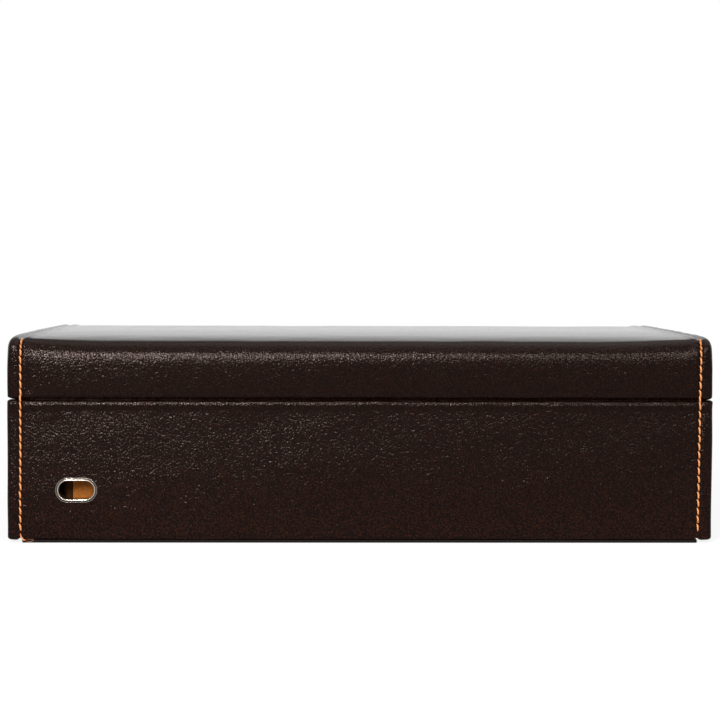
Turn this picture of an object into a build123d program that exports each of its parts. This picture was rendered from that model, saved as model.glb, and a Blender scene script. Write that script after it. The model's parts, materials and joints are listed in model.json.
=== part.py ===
from build123d import *
import math
import os

# Watch box with a drawer: leather-covered boards, a padded lid on a leather
# hinge, twelve watch cushions in a divided tray, and a drawer below the tray
# with a metal-lined cable hole behind it.
# Frame: millimetres, origin at the centre of the resting face, +Z up,
# -Y towards the drawer front, +Y towards the hinge.

# Overall sizes
width = 330.0
depth = 220.0
height = 96.5
lid_height = 29.3
seam_gap = 0.4
foot_step = 1.3

# Material thicknesses
leather = 1.2
side_board = 5.2
end_board = 6.0
bottom_board_thickness = 5.0
shelf_thickness = 4.0
lid_board_thickness = 4.0
lid_foam = 2.3
suede = 0.8
lining_card = 2.0
divider_thickness = 2.4

# Roundings of the leather form
upright_radius = 2.2
rim_radius = 1.0
lid_shoulder_radius = 7.0
lid_side_radius = 3.6
lid_crown = 0.8

# Leather joints
panel_gap = 0.2
flange_width = 9.2

# Tray
shelf_height = 37.0
columns = 6
rows = 2
divider_drop = 1.2
lip_height = 3.2
lip_relief = 0.7

# Watch cushions
watch_room = 10.4
cushion_side_gap = 1.8
cushion_end_gap = 10.8
cushion_corner = 13.0
cushion_draw_in = 3.0
cushion_shoulder = 15.0
rest_gap = 0.3

# Lid inside
lid_pad_thickness = 2.5
lid_pad_edge = 1.6
lid_lining = 1.0
lid_pad_gap = 0.3

# Hinge
hinge_band = 2.6
hinge_skive = 0.3
hinge_clearance = 0.1
fold_depth = 1.5
fold_half_height = 1.0
fold_radius = 0.7
hinge_chamfer = 2.6
lid_opening = 100.0
gusset_skin = 0.6
gusset_leg = 4.2
gusset_slack = 1.0
pleat_radius = 0.45

# Drawer
drawer_side_gap = 0.8
drawer_front_gap = 0.8
drawer_side_board = 5.0
drawer_back_board = 4.0
drawer_bottom_thickness = 3.0
groove_depth = 2.5
drawer_bottom_rise = 2.0
drawer_side_drop = 2.8
drawer_back_gap = 4.8
drawer_travel = 140.0
runner_width = 8.0
drawer_divider_drop = 1.9
charge_bay = 57.0
ring_bay = 76.0
ring_rolls = 9
ring_slit = 0.5
ring_pad_back = 3.0

# Cable hole
hole_from_side = 32.2
hole_drop = 12.3
hole_length = 16.5
hole_width = 8.6
grommet_bead = 1.6
grommet_proud = 0.9
sleeve_wall = 0.6
clinch_width = 1.5
clinch_thickness = 0.7
notch_edge_from_side = 29.4
notch_drop = 7.7
notch_corner = 4.0

# Drawer pull
knob_reach = 14.0
knob_head_radius = 7.0
knob_neck_radius = 3.2
knob_neck_height = 4.6
knob_head_underside = 8.7
knob_widest_height = 10.4
knob_dome_height = 12.2
knob_edge = 0.8
knob_foot_radius = 8.0
knob_foot_thickness = 1.4
knob_bore_radius = 1.6
knob_bore_depth = 7.0
screw_radius = 1.5
screw_head_radius = 3.4
screw_head_height = 1.8
screw_slot = 0.8
screw_edge = 0.7
screw_clearance = 0.2

# Lid lift
lift_length = 34.0
lift_plate = 1.0
lift_height = 8.0
lift_reach = 4.0
lift_bend = 2.0
lift_corner = 2.4
lift_rim_gap = 0.4
lift_droop = 0.6
rivet_spacing = 20.0
rivet_radius = 1.1
rivet_head_radius = 1.9
rivet_head_height = 0.7
rivet_length = 5.0

# Magnets
magnet_radius = 2.4
magnet_thickness = 2.0
magnet_offset = 60.0
pocket_clearance = 0.1

# Drawer stops
stop_width = 20.0
stop_thickness = 6.0
stop_offset = 105.0
stop_clearance = 0.3
stop_rise = 0.5
bumper_clearance = 0.1
bumper_radius = 4.0
bumper_offset = 100.0

# Places worked out from the sizes above
half_width = width / 2
half_depth = depth / 2
seam_height = height - lid_height
case_rim = seam_height - seam_gap / 2
lid_rim = seam_height + seam_gap / 2
seam_x = half_width - leather - side_board
inner_y = half_depth - leather - end_board
board_y = half_depth - leather
board_x = half_width - leather
board_bottom = foot_step + leather
cavity_floor = board_bottom + bottom_board_thickness
shelf_top = shelf_height + shelf_thickness
tray_floor = shelf_top + suede
tray_x = seam_x - lining_card
tray_y = inner_y - lining_card
case_board_top = case_rim - leather
lid_board_bottom = lid_rim + leather
lid_top_underside = height - leather - lid_foam - lid_board_thickness
lid_board_top = lid_top_underside + lid_board_thickness
lid_pad_underside = lid_top_underside - lid_pad_thickness
lip_top = case_rim + lip_height
divider_height = seam_height - gusset_leg - divider_drop - tray_floor
cushion_height = lid_pad_underside - watch_room - tray_floor - rest_gap
hinge_skin = leather - hinge_skive
runner_thickness = suede
drawer_underside = cavity_floor + runner_thickness
opening_top = shelf_height - leather
hole_x = half_width - hole_from_side
hole_height = shelf_height - hole_drop
drawer_x = seam_x - drawer_side_gap
drawer_back_y = inner_y - drawer_back_gap
drawer_front_bottom = drawer_underside + rest_gap
drawer_front_top = opening_top - drawer_front_gap
drawer_side_top = opening_top - drawer_side_drop
drawer_floor = drawer_underside + drawer_bottom_rise + drawer_bottom_thickness
drawer_divider_height = drawer_side_top - drawer_divider_drop - drawer_floor - suede
notch_floor = max(hole_height - notch_drop, drawer_floor + suede)
drawer_inner_x = drawer_x - drawer_side_board
drawer_inner_back = drawer_back_y - drawer_back_board
knob_z = (drawer_front_bottom + drawer_front_top) / 2
lift_z = lid_rim + rim_radius + lift_rim_gap
rivet_z = lift_z + lift_height * 0.6
magnet_y = -(board_y + inner_y) / 2


def block(x0, x1, y0, y1, z0, z1):
    """A rectangular solid between two corners."""
    centre = Pos((x0 + x1) / 2, (y0 + y1) / 2, (z0 + z1) / 2)
    return centre * Box(x1 - x0, y1 - y0, z1 - z0)


def mirrored(shape):
    """The same piece on the other side of the box."""
    return mirror(shape, about=Plane.YZ)


def edges_at(shape, z):
    """The edges of a shape that lie flat at height z."""
    flat = shape.edges().filter_by(lambda e: e.bounding_box().size.Z < 0.01)
    return flat.filter_by(lambda e: abs(e.center().Z - z) < 0.01)


def dome(radius, low, high):
    """An arc from the rim of a round dome to its top, centred on the axis."""
    rise = high - low
    sphere = (radius ** 2 + rise ** 2) / (2 * rise)
    start = math.degrees(math.asin((sphere - rise) / sphere))
    return CenterArc((0, high - sphere), sphere, start, 90 - start)


def pair(shape):
    """A piece and its mirror image as one group of separate solids."""
    return Compound(children=[shape, mirrored(shape)])


def case_form(inset):
    """The case's outer form moved in by inset, with rounded upright corners."""
    x, y = half_width - inset, half_depth - inset
    form = block(-x, x, -y, y, foot_step + inset, case_rim - inset)
    return fillet(form.edges().filter_by(Axis.Z), upright_radius - inset)


def lid_form(inset):
    """The lid's outer form moved in by inset: a crowned, padded top with soft edges."""
    x, y = half_width - inset, half_depth - inset
    bottom, top = lid_rim + inset, height - inset
    outline = Polyline((-y, top - lid_crown), (-y, bottom), (y, bottom), (y, top - lid_crown))
    crown = ThreePointArc((y, top - lid_crown), (0, top), (-y, top - lid_crown))
    profile = make_face(outline + crown)
    shoulders = profile.vertices().group_by(Axis.Y)[-1]
    profile = fillet(shoulders, lid_shoulder_radius - inset)
    form = extrude(Plane.YZ * profile, x, both=True)
    ends = form.edges().filter_by(lambda e: abs(abs(e.center().X) - x) < 0.01)
    ends = ends.filter_by(lambda e: e.center().Z > bottom + 0.01)
    return fillet(ends, lid_side_radius - inset)


def split_panels(skin):
    """Cuts a leather skin at its two sewn seams: left, centre and right panels."""
    far = width
    edge = seam_x + panel_gap / 2
    inner = seam_x - panel_gap / 2
    left = skin & block(-far, -edge, -far, far, -far, far)
    right = skin & block(edge, far, -far, far, -far, far)
    centre = skin & block(-inner, inner, -far, far, -far, far)
    return left, centre, right


def case_leather_panels():
    """The case's leather: side, back, rail and sill panels, turned over the rims and under the base."""
    form = case_form(0)
    form = fillet(edges_at(form, case_rim) + edges_at(form, foot_step), rim_radius)
    skin = form - case_form(leather)
    skin -= block(-seam_x, seam_x, -inner_y, inner_y, case_board_top - 1, case_rim + 1)
    flange_y = half_depth - flange_width
    skin -= block(-seam_x, seam_x, -flange_y, flange_y, 0, board_bottom + 1)
    skin -= block(-seam_x, seam_x, -half_depth - 1, -inner_y, cavity_floor, opening_top)
    skin -= block(-seam_x, seam_x, inner_y - 1, half_depth + 1, seam_height - hinge_band, case_rim + 1)
    skin -= cable_opening(sleeve_wall)
    left, centre, right = split_panels(skin)
    back = centre & block(-width, width, 0, depth, 0, height)
    rail = centre & block(-width, width, -depth, 0, opening_top, height)
    sill = centre & block(-width, width, -depth, 0, 0, opening_top - 1)
    inner = seam_x - panel_gap / 2
    rail += block(-inner, inner, -board_y, -half_depth + flange_width, opening_top, shelf_height)
    return left, right, back, rail, sill


def lid_leather_panels():
    """The lid's leather: two side panels and one long panel over back, top and front."""
    form = lid_form(0)
    form = fillet(edges_at(form, lid_rim), rim_radius)
    skin = form - lid_form(leather)
    skin -= block(-seam_x, seam_x, -inner_y, inner_y, lid_rim - 1, lid_board_bottom + 1)
    skin -= block(-seam_x, seam_x, inner_y - 1, half_depth + 1, lid_rim - 1, seam_height + hinge_band)
    left, centre, right = split_panels(skin)
    return left, centre, right


def obround(length, breadth):
    """The outline of the cable hole, in the plane of the back wall."""
    return SlotOverall(length, breadth)


def cable_opening(growth):
    """A cutter for the cable hole through the back, widened by growth all round."""
    outline = obround(hole_length + 2 * growth, hole_width + 2 * growth)
    placed = Plane(origin=(hole_x, half_depth + 5, hole_height), x_dir=(1, 0, 0), z_dir=(0, -1, 0))
    return extrude(placed * outline, 5 + leather + end_board + 3)


def cable_grommet():
    """The metal liner of the cable hole: a half-round bead outside and a sleeve through the wall."""
    face = Plane(origin=(hole_x, half_depth, hole_height), x_dir=(-1, 0, 0), z_dir=(0, 1, 0))
    rim = obround(hole_length + 2 * grommet_bead, hole_width + 2 * grommet_bead)
    bead = extrude(face * rim, grommet_proud)
    top_edges = bead.faces().sort_by(Axis.Y)[-1].edges()
    bead = fillet(top_edges, grommet_proud * 0.75)
    sleeve_depth = leather + end_board + clinch_thickness
    outer = obround(hole_length + 2 * sleeve_wall, hole_width + 2 * sleeve_wall)
    sleeve = extrude(face * outer, -sleeve_depth)
    bore = extrude(face * obround(hole_length, hole_width), -sleeve_depth - 1)
    bore += extrude(face * obround(hole_length, hole_width), grommet_proud + 1)
    liner = bead + sleeve - bore
    lip = [e for e in liner.faces().sort_by(Axis.Y)[-1].inner_wires()[0].edges()]
    return fillet(lip, grommet_proud * 0.45)


def grommet_clinch_ring():
    """The washer that the sleeve is closed over, inside the back wall."""
    face = Plane(origin=(hole_x, inner_y, hole_height), x_dir=(1, 0, 0), z_dir=(0, -1, 0))
    grown = 2 * (sleeve_wall + clinch_width)
    ring = obround(hole_length + grown, hole_width + grown)
    ring -= obround(hole_length + 2 * sleeve_wall, hole_width + 2 * sleeve_wall)
    return extrude(face * ring, clinch_thickness)


def base_plate():
    """The plate that the box stands on, stepped up between the leather's turned-under edges."""
    x = seam_x - 0.3
    sheet = block(-x, x, -half_depth + 0.6, half_depth - 0.6, 0, foot_step)
    sheet = fillet(sheet.edges().filter_by(Axis.Z), 1.5)
    y = half_depth - flange_width - 0.2
    return sheet + block(-x, x, -y, y, foot_step, board_bottom)


def bottom_board():
    """The bottom board, let into rebates in the side walls."""
    x = seam_x + side_board / 2
    return block(-x, x, -board_y, board_y, board_bottom, cavity_floor)


def side_wall():
    """The right side wall, with a rebate for the bottom board and a groove for the shelf."""
    wall = block(seam_x, board_x, -board_y, board_y, board_bottom, case_board_top)
    wall &= case_form(leather)
    half = seam_x + side_board / 2
    wall -= block(seam_x - 1, half, -depth, depth, 0, cavity_floor)
    wall -= block(seam_x - 1, half, -depth, inner_y, shelf_height, shelf_top)
    return wall


def back_wall():
    """The back wall, bevelled along its top for the leather fold, with the cable hole."""
    wall = block(-seam_x, seam_x, inner_y, board_y, cavity_floor, case_board_top)
    outer_top = edges_at(wall, case_board_top).filter_by(Axis.X).sort_by(Axis.Y)[-1]
    wall = chamfer(outer_top, hinge_chamfer)
    wall -= block(-seam_x, seam_x, inner_y - 1, inner_y + groove_depth, shelf_height, shelf_top)
    return wall - cable_opening(sleeve_wall)


def shelf_board():
    """The shelf between the tray and the drawer, held in grooves on three sides."""
    x = seam_x + side_board / 2
    shelf = block(-x, x, -board_y, inner_y, shelf_height, shelf_top)
    shelf += block(-seam_x, seam_x, inner_y, inner_y + groove_depth, shelf_height, shelf_top)
    return shelf


def magnet_pockets(low):
    """Two round pockets in a front board, whose lower faces are at low."""
    depth_cut = magnet_thickness + pocket_clearance
    pocket = Cylinder(magnet_radius + pocket_clearance, depth_cut)
    pocket = Pos(magnet_offset, magnet_y, low + depth_cut / 2) * pocket
    return pocket + mirrored(pocket)


def magnets(low):
    """The pair of closing magnets whose lower faces are at low."""
    magnet = Cylinder(magnet_radius, magnet_thickness)
    return pair(Pos(magnet_offset, magnet_y, low + magnet_thickness / 2) * magnet)


def front_rail():
    """The fixed wall above the drawer, with pockets for two magnets."""
    rail = block(-seam_x, seam_x, -board_y, -inner_y, shelf_top, case_board_top)
    return rail - magnet_pockets(case_board_top - magnet_thickness - pocket_clearance)


def tray_wall_lining():
    """Four suede-covered cards inside the tray. Front and sides stand up as a lip for the lid."""
    relieved = lining_card - lip_relief
    side = block(tray_x, seam_x, -inner_y, inner_y, tray_floor, case_rim)
    side += block(tray_x, tray_x + relieved, -tray_y - relieved, tray_y, case_rim, lip_top)
    front = block(-tray_x, tray_x, -inner_y, -tray_y, tray_floor, case_rim)
    front += block(-tray_x, tray_x, -tray_y - relieved, -tray_y, case_rim, lip_top)
    back = block(-tray_x, tray_x, tray_y, inner_y, tray_floor, seam_height - gusset_leg)
    return Compound(children=[side, mirrored(side), front, back])


def cell_width():
    """Clear width of one watch cell."""
    return (2 * tray_x - (columns - 1) * divider_thickness) / columns


def cell_depth():
    """Clear depth of one watch cell."""
    return (2 * tray_y - (rows - 1) * divider_thickness) / rows


def divider_places():
    """The X places of the short dividers' centres."""
    pitch = cell_width() + divider_thickness
    return [-tray_x + pitch * (i + 1) - divider_thickness / 2 for i in range(columns - 1)]


def long_divider():
    """The divider along the tray, slotted from above for the short ones."""
    half = divider_thickness / 2
    top = tray_floor + divider_height
    card = block(-tray_x, tray_x, -half, half, tray_floor, top)
    for x in divider_places():
        card -= block(x - half, x + half, -half, half, tray_floor + divider_height / 2, top)
    return card


def short_dividers():
    """The dividers across the tray, slotted from below over the long one."""
    half = divider_thickness / 2
    top = tray_floor + divider_height
    cards = []
    for x in divider_places():
        card = block(x - half, x + half, -tray_y, tray_y, tray_floor, top)
        card -= block(x - half, x + half, -half, half, tray_floor, tray_floor + divider_height / 2)
        cards.append(card)
    return Compound(children=cards)


def watch_cushion():
    """One watch cushion at the origin: oval in section, drawn in at both ends, flat underneath."""
    half = cell_width() / 2 - cushion_side_gap
    length = cell_depth() - 2 * cushion_end_gap
    corner = min(cushion_corner, (cushion_height - cushion_draw_in) * 0.42)
    sections = []
    for x, drawn in (
        (-half, cushion_draw_in),
        (-cushion_shoulder, 0.0),
        (cushion_shoulder, 0.0),
        (half, cushion_draw_in),
    ):
        outline = RectangleRounded(length - 2 * drawn, cushion_height - drawn, corner)
        place = Plane(origin=(x, 0, (cushion_height - drawn) / 2), x_dir=(0, 1, 0), z_dir=(1, 0, 0))
        sections.append(place * outline)
    return loft(sections, ruled=True)


def cushion_places():
    """The centres of the watch cells, front row first, left to right."""
    pitch_x = cell_width() + divider_thickness
    pitch_y = cell_depth() + divider_thickness
    first_x = -pitch_x * (columns - 1) / 2
    first_y = -pitch_y * (rows - 1) / 2
    return [(first_x + pitch_x * c, first_y + pitch_y * r) for r in range(rows) for c in range(columns)]


def folded_strip(points, radii, skin, half_length):
    """A thin strip that follows a folded line in the Y-Z plane, along the box's width."""
    section = trace(FilletPolyline(*points, radius=radii), skin)
    return extrude(Plane.YZ * section, half_length, both=True)


def hinge_leather():
    """The leather hinge: the stretch of the back panel that folds inward at the seam."""
    y = half_depth - hinge_skin / 2 - hinge_clearance
    reach = hinge_band - hinge_clearance
    points = [
        (y, seam_height - reach),
        (y, seam_height - fold_half_height),
        (y - fold_depth, seam_height),
        (y, seam_height + fold_half_height),
        (y, seam_height + reach),
    ]
    return folded_strip(points, fold_radius, hinge_skin, seam_x - panel_gap / 2)


def pleat_depth():
    """How deep the gusset's pleat hangs, so that it pulls tight as the lid reaches its full opening."""
    back, rise = half_depth - inner_y, lid_board_bottom - seam_height
    turn = math.radians(lid_opening)
    open_y = -back * math.cos(turn) + rise * math.sin(turn)
    open_z = back * math.sin(turn) + rise * math.cos(turn)
    length = math.dist((open_y, open_z), (-back, -rise)) + gusset_slack
    return math.sqrt((length / 2) ** 2 - rise ** 2)


def hinge_gusset():
    """The suede gusset inside the hinge: its pleat opens with the lid and then stops it."""
    y = inner_y - gusset_skin / 2
    rise = lid_board_bottom - seam_height
    reach = gusset_leg - hinge_clearance
    points = [
        (y, seam_height - reach),
        (y, seam_height - rise),
        (y - pleat_depth(), seam_height),
        (y, seam_height + rise),
        (y, seam_height + reach),
    ]
    return folded_strip(points, pleat_radius, gusset_skin, tray_x - rest_gap)


def lid_frame():
    """The lid's four wall boards: two long and two between them, with magnet pockets in front."""
    form = lid_form(leather)
    side = form & block(seam_x, board_x, -board_y, board_y, lid_board_bottom, lid_top_underside)
    front = block(-seam_x, seam_x, -board_y, -inner_y, lid_board_bottom, lid_top_underside)
    front = front & form
    front -= magnet_pockets(lid_board_bottom)
    front -= rivet_shanks()
    back = block(-seam_x, seam_x, inner_y, board_y, lid_board_bottom, lid_top_underside)
    outer_low = edges_at(back, lid_board_bottom).filter_by(Axis.X).sort_by(Axis.Y)[-1]
    back = chamfer(outer_low, hinge_chamfer) & form
    return Compound(children=[side, mirrored(side), front, back])


def lid_wall_lining():
    """Four suede-covered cards inside the lid's walls, above the tray's lip."""
    low, high = lip_top + lip_relief, lid_top_underside
    x, y = seam_x - lid_lining, inner_y - lid_lining
    side = block(x, seam_x, -inner_y, inner_y, low, high)
    front = block(-x, x, -inner_y, -y, low, high)
    back = block(-x, x, y, inner_y, seam_height + gusset_leg, high)
    return Compound(children=[side, mirrored(side), front, back])


def lid_inner_pad():
    """The padded suede panel under the lid, rounded along its lower edges."""
    x = seam_x - lid_lining - lid_pad_gap
    y = inner_y - lid_lining - lid_pad_gap
    low = lid_pad_underside
    pad = block(-x, x, -y, y, low, lid_top_underside)
    return fillet(pad.faces().sort_by(Axis.Z)[0].edges(), lid_pad_edge)


def lid_lift():
    """The metal lip at the front of the lid: a plate with rounded corners, curled out to a finger edge."""
    plate = -half_depth - lift_plate / 2
    line = FilletPolyline(
        (plate, lift_z + lift_height),
        (plate, lift_z),
        (-half_depth - lift_reach, lift_z - lift_droop),
        radius=lift_bend,
    )
    lift = extrude(Plane.YZ * trace(line, lift_plate), lift_length / 2, both=True)
    corners = edges_at(lift, lift_z + lift_height).filter_by(Axis.Y)
    lift = fillet(corners, lift_corner)
    return lift - rivet_shanks()


def rivet_place():
    """Where the right rivet's head meets the lid lift, with its axis along Y."""
    return Pos(rivet_spacing / 2, -half_depth - lift_plate, rivet_z) * Rot(90, 0, 0)


def rivet_shanks():
    """The space of the two rivets' shanks, to cut their holes."""
    shank = Cylinder(rivet_radius, rivet_length, align=(Align.CENTER, Align.CENTER, Align.MAX))
    shank = rivet_place() * shank
    return shank + mirrored(shank)


def lid_lift_rivets():
    """Two domed rivets through the lid lift and the lid's leather into the front board."""
    shank = Polyline(
        (0, rivet_head_height),
        (0, -rivet_length),
        (rivet_radius, -rivet_length),
        (rivet_radius, 0),
        (rivet_head_radius, 0),
    )
    profile = make_face(shank + dome(rivet_head_radius, 0, rivet_head_height))
    return pair(rivet_place() * revolve(Plane.XZ * profile, Axis.Z))


def screw_hole():
    """A clearance hole for the knob's screw through the drawer front."""
    hole = Rot(90, 0, 0) * Cylinder(screw_radius + screw_clearance, 40)
    return Pos(0, -half_depth, knob_z) * hole


def drawer_front_leather():
    """The leather cover of the drawer front, turned over its four edges."""
    x = seam_x - drawer_front_gap
    cover = block(-x, x, -half_depth, -inner_y, drawer_front_bottom, drawer_front_top)
    cover = fillet(cover.faces().sort_by(Axis.Y)[0].edges(), rim_radius)
    cover -= drawer_front_core()
    return cover - screw_hole()


def drawer_front_core():
    """The space that the drawer front's board fills inside its cover."""
    x = seam_x - drawer_front_gap - leather
    return block(-x, x, -board_y, -inner_y, drawer_front_bottom + leather, drawer_front_top - leather)


def drawer_front_board():
    """The board of the drawer front."""
    return drawer_front_core() - screw_hole()


def drawer_box_front():
    """The drawer box's own front, screwed to the back of the drawer front."""
    back = -inner_y + drawer_back_board
    board = block(-drawer_inner_x, drawer_inner_x, -inner_y, back, drawer_underside, drawer_side_top)
    board -= drawer_bottom_slot()
    return board - screw_hole()


def drawer_bottom_slot():
    """The space of the drawer's bottom, which its four sides are grooved for."""
    x = drawer_inner_x + groove_depth
    y0 = -inner_y + drawer_back_board - groove_depth
    y1 = drawer_back_y - drawer_back_board + groove_depth
    low = drawer_underside + drawer_bottom_rise
    return block(-x, x, y0, y1, low, low + drawer_bottom_thickness)


def drawer_side():
    """The right side of the drawer box, grooved for the bottom, with a rounded back corner."""
    side = block(drawer_inner_x, drawer_x, -inner_y, drawer_back_y, drawer_underside, drawer_side_top)
    back_corner = edges_at(side, drawer_side_top).filter_by(Axis.X).sort_by(Axis.Y)[-1]
    side = fillet(back_corner, notch_corner)
    return side - drawer_bottom_slot()


def drawer_back():
    """The drawer's back, taller than its sides to meet the stops, with a notch for a cable."""
    notch_x = half_width - notch_edge_from_side
    outline = Polyline(
        (notch_x, drawer_front_top),
        (-drawer_inner_x, drawer_front_top),
        (-drawer_inner_x, drawer_underside),
        (drawer_inner_x, drawer_underside),
        (drawer_inner_x, notch_floor),
        (notch_x, notch_floor),
        (notch_x, drawer_front_top),
    )
    face = make_face(outline)
    notch_edges = face.vertices().filter_by(lambda v: abs(v.X - notch_x) < 0.01)
    face = fillet(notch_edges, notch_corner)
    place = Plane(origin=(0, drawer_inner_back, 0), x_dir=(1, 0, 0), z_dir=(0, -1, 0))
    return extrude(place * face, -drawer_back_board) - drawer_bottom_slot()


def drawer_bays():
    """The X places of the two lengthwise dividers, and the Y place of the short one."""
    right = drawer_inner_x - charge_bay - divider_thickness / 2
    left = -drawer_inner_x + ring_bay + divider_thickness / 2
    return left, right, 0.0


def drawer_dividers():
    """Three suede-covered cards that part the drawer into four bays."""
    left, right, across = drawer_bays()
    half = divider_thickness / 2
    y0, y1 = -inner_y + drawer_back_board, drawer_inner_back
    low, high = drawer_floor + suede, drawer_floor + suede + drawer_divider_height
    cards = [block(x - half, x + half, y0, y1, low, high) for x in (left, right)]
    cards.append(block(-drawer_inner_x, left - half, across - half, across + half, low, high))
    return Compound(children=cards)


def drawer_lining():
    """The suede on the drawer's floor."""
    y0, y1 = -inner_y + drawer_back_board, drawer_inner_back
    return block(-drawer_inner_x, drawer_inner_x, y0, y1, drawer_floor, drawer_floor + suede)


def ring_pad():
    """A row of soft rolls for rings, on a flat back, in the drawer's front left bay."""
    left, _, across = drawer_bays()
    x0, x1 = -drawer_inner_x + rest_gap, left - divider_thickness / 2 - rest_gap
    y0 = -inner_y + drawer_back_board + rest_gap
    y1 = across - divider_thickness / 2 - rest_gap
    low = drawer_floor + suede
    middle = low + ring_pad_back
    pitch = (y1 - y0) / ring_rolls
    roll_radius = (pitch - ring_slit) / 2
    pad = block(x0, x1, y0, y1, low, middle)
    for i in range(ring_rolls):
        roll = Rot(0, 90, 0) * Cylinder(roll_radius, x1 - x0)
        roll = Pos((x0 + x1) / 2, y0 + pitch * (i + 0.5), middle) * roll
        pad += roll & block(x0, x1, y0, y1, middle, middle + pitch)
    return pad


def drawer_knob():
    """The turned metal knob with its foot plate and a blind hole for the screw."""
    neck_foot = (knob_neck_radius + knob_edge, knob_foot_thickness)
    head_under = (knob_head_radius - knob_edge, knob_head_underside)
    head_edge = (knob_head_radius - knob_edge, knob_dome_height)
    outline = Polyline(
        (0, knob_reach),
        (0, knob_bore_depth),
        (knob_bore_radius, knob_bore_depth),
        (knob_bore_radius, 0),
        (knob_foot_radius, 0),
        (knob_foot_radius, knob_foot_thickness - knob_edge),
        (knob_foot_radius - knob_edge, knob_foot_thickness),
        neck_foot,
    )
    neck = ThreePointArc(neck_foot, (knob_neck_radius, knob_neck_height), head_under)
    rim = ThreePointArc(head_under, (knob_head_radius, knob_widest_height), head_edge)
    profile = make_face(outline + neck + rim + dome(head_edge[0], knob_dome_height, knob_reach))
    knob = revolve(Plane.XZ * profile, Axis.Z)
    return Pos(0, -half_depth, knob_z) * Rot(90, 0, 0) * knob


def knob_screw():
    """The screw that holds the knob, driven from inside the drawer, with a cross slot in its head."""
    seat = -inner_y + drawer_back_board
    shank_length = seat + half_depth + knob_bore_depth - rest_gap
    shank = Cylinder(screw_radius, shank_length, align=(Align.CENTER, Align.CENTER, Align.MAX))
    head = Cylinder(screw_head_radius, screw_head_height, align=(Align.CENTER, Align.CENTER, Align.MIN))
    head = fillet(head.faces().sort_by(Axis.Z)[-1].edges(), screw_edge)
    slot = Pos(0, 0, screw_head_height) * Box(screw_head_radius * 1.3, screw_slot, screw_slot * 2)
    screw = shank + head - slot - Rot(0, 0, 90) * slot
    return Pos(0, seat, knob_z) * Rot(-90, 0, 0) * screw


def drawer_runners():
    """Two felt strips on the bottom board that the drawer's sides slide on."""
    strip = block(seam_x - runner_width, seam_x, -inner_y, inner_y, cavity_floor, drawer_underside)
    return pair(strip)


def drawer_stops():
    """Two blocks under the shelf that catch the drawer's back before it comes out."""
    back = drawer_inner_back - drawer_travel - stop_clearance
    low = drawer_side_top + stop_rise
    inner, outer = stop_offset - stop_width / 2, stop_offset + stop_width / 2
    return pair(block(inner, outer, back - stop_thickness, back, low, shelf_height))


def drawer_bumpers():
    """Two felt buttons on the back wall that the closed drawer rests against."""
    length = inner_y - drawer_back_y - bumper_clearance
    bumper = Cylinder(bumper_radius, length, align=(Align.CENTER, Align.CENTER, Align.MIN))
    return pair(Pos(bumper_offset, inner_y, knob_z) * Rot(90, 0, 0) * bumper)


def build():
    """Every piece of the box by its node's name."""
    nodes = {}
    left, right, back, rail, sill = case_leather_panels()
    nodes["case_leather_left"] = left
    nodes["case_leather_right"] = right
    nodes["back_leather"] = back
    nodes["rail_leather"] = rail
    nodes["sill_leather"] = sill
    nodes["base_plate"] = base_plate()
    nodes["bottom_board"] = bottom_board()
    wall = side_wall()
    nodes["side_wall_right"] = wall
    nodes["side_wall_left"] = mirrored(wall)
    nodes["back_wall"] = back_wall()
    nodes["shelf_board"] = shelf_board()
    nodes["front_rail"] = front_rail()
    nodes["case_magnets"] = magnets(case_board_top - magnet_thickness)
    nodes["tray_floor_lining"] = block(-seam_x, seam_x, -inner_y, inner_y, shelf_top, tray_floor)
    nodes["tray_wall_lining"] = tray_wall_lining()
    nodes["long_divider"] = long_divider()
    nodes["short_dividers"] = short_dividers()
    cushion = watch_cushion()
    for number, (x, y) in enumerate(cushion_places(), start=1):
        nodes[f"watch_cushion_{number:02d}"] = Pos(x, y, tray_floor + rest_gap) * cushion
    nodes["cable_grommet"] = cable_grommet()
    nodes["grommet_clinch_ring"] = grommet_clinch_ring()
    nodes["drawer_runners"] = drawer_runners()
    nodes["drawer_stops"] = drawer_stops()
    nodes["drawer_bumpers"] = drawer_bumpers()
    nodes["hinge_leather"] = hinge_leather()
    nodes["hinge_gusset"] = hinge_gusset()

    left, centre, right = lid_leather_panels()
    nodes["lid_leather_left"] = left
    nodes["lid_leather_right"] = right
    nodes["lid_leather"] = centre - rivet_shanks()
    nodes["lid_frame"] = lid_frame()
    form = lid_form(leather)
    nodes["lid_top_board"] = form & block(-width, width, -depth, depth, lid_top_underside, lid_board_top)
    nodes["lid_padding"] = form & block(-width, width, -depth, depth, lid_board_top, height)
    nodes["lid_wall_lining"] = lid_wall_lining()
    nodes["lid_inner_pad"] = lid_inner_pad()
    nodes["lid_magnets"] = magnets(lid_board_bottom)
    nodes["lid_lift"] = lid_lift()
    nodes["lid_lift_rivets"] = lid_lift_rivets()

    nodes["drawer_front_leather"] = drawer_front_leather()
    nodes["drawer_front_board"] = drawer_front_board()
    nodes["drawer_box_front"] = drawer_box_front()
    side = drawer_side()
    nodes["drawer_side_right"] = side
    nodes["drawer_side_left"] = mirrored(side)
    nodes["drawer_back"] = drawer_back()
    nodes["drawer_bottom"] = drawer_bottom_slot()
    nodes["drawer_lining"] = drawer_lining()
    nodes["drawer_dividers"] = drawer_dividers()
    nodes["ring_pad"] = ring_pad()
    nodes["drawer_knob"] = drawer_knob()
    nodes["knob_screw"] = knob_screw()
    return nodes


os.makedirs("parts", exist_ok=True)
for name, shape in build().items():
    export_step(shape, f"parts/{name}.step")
    print(name, len(shape.solids()), round(shape.volume, 1))
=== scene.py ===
import json
import math

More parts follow.
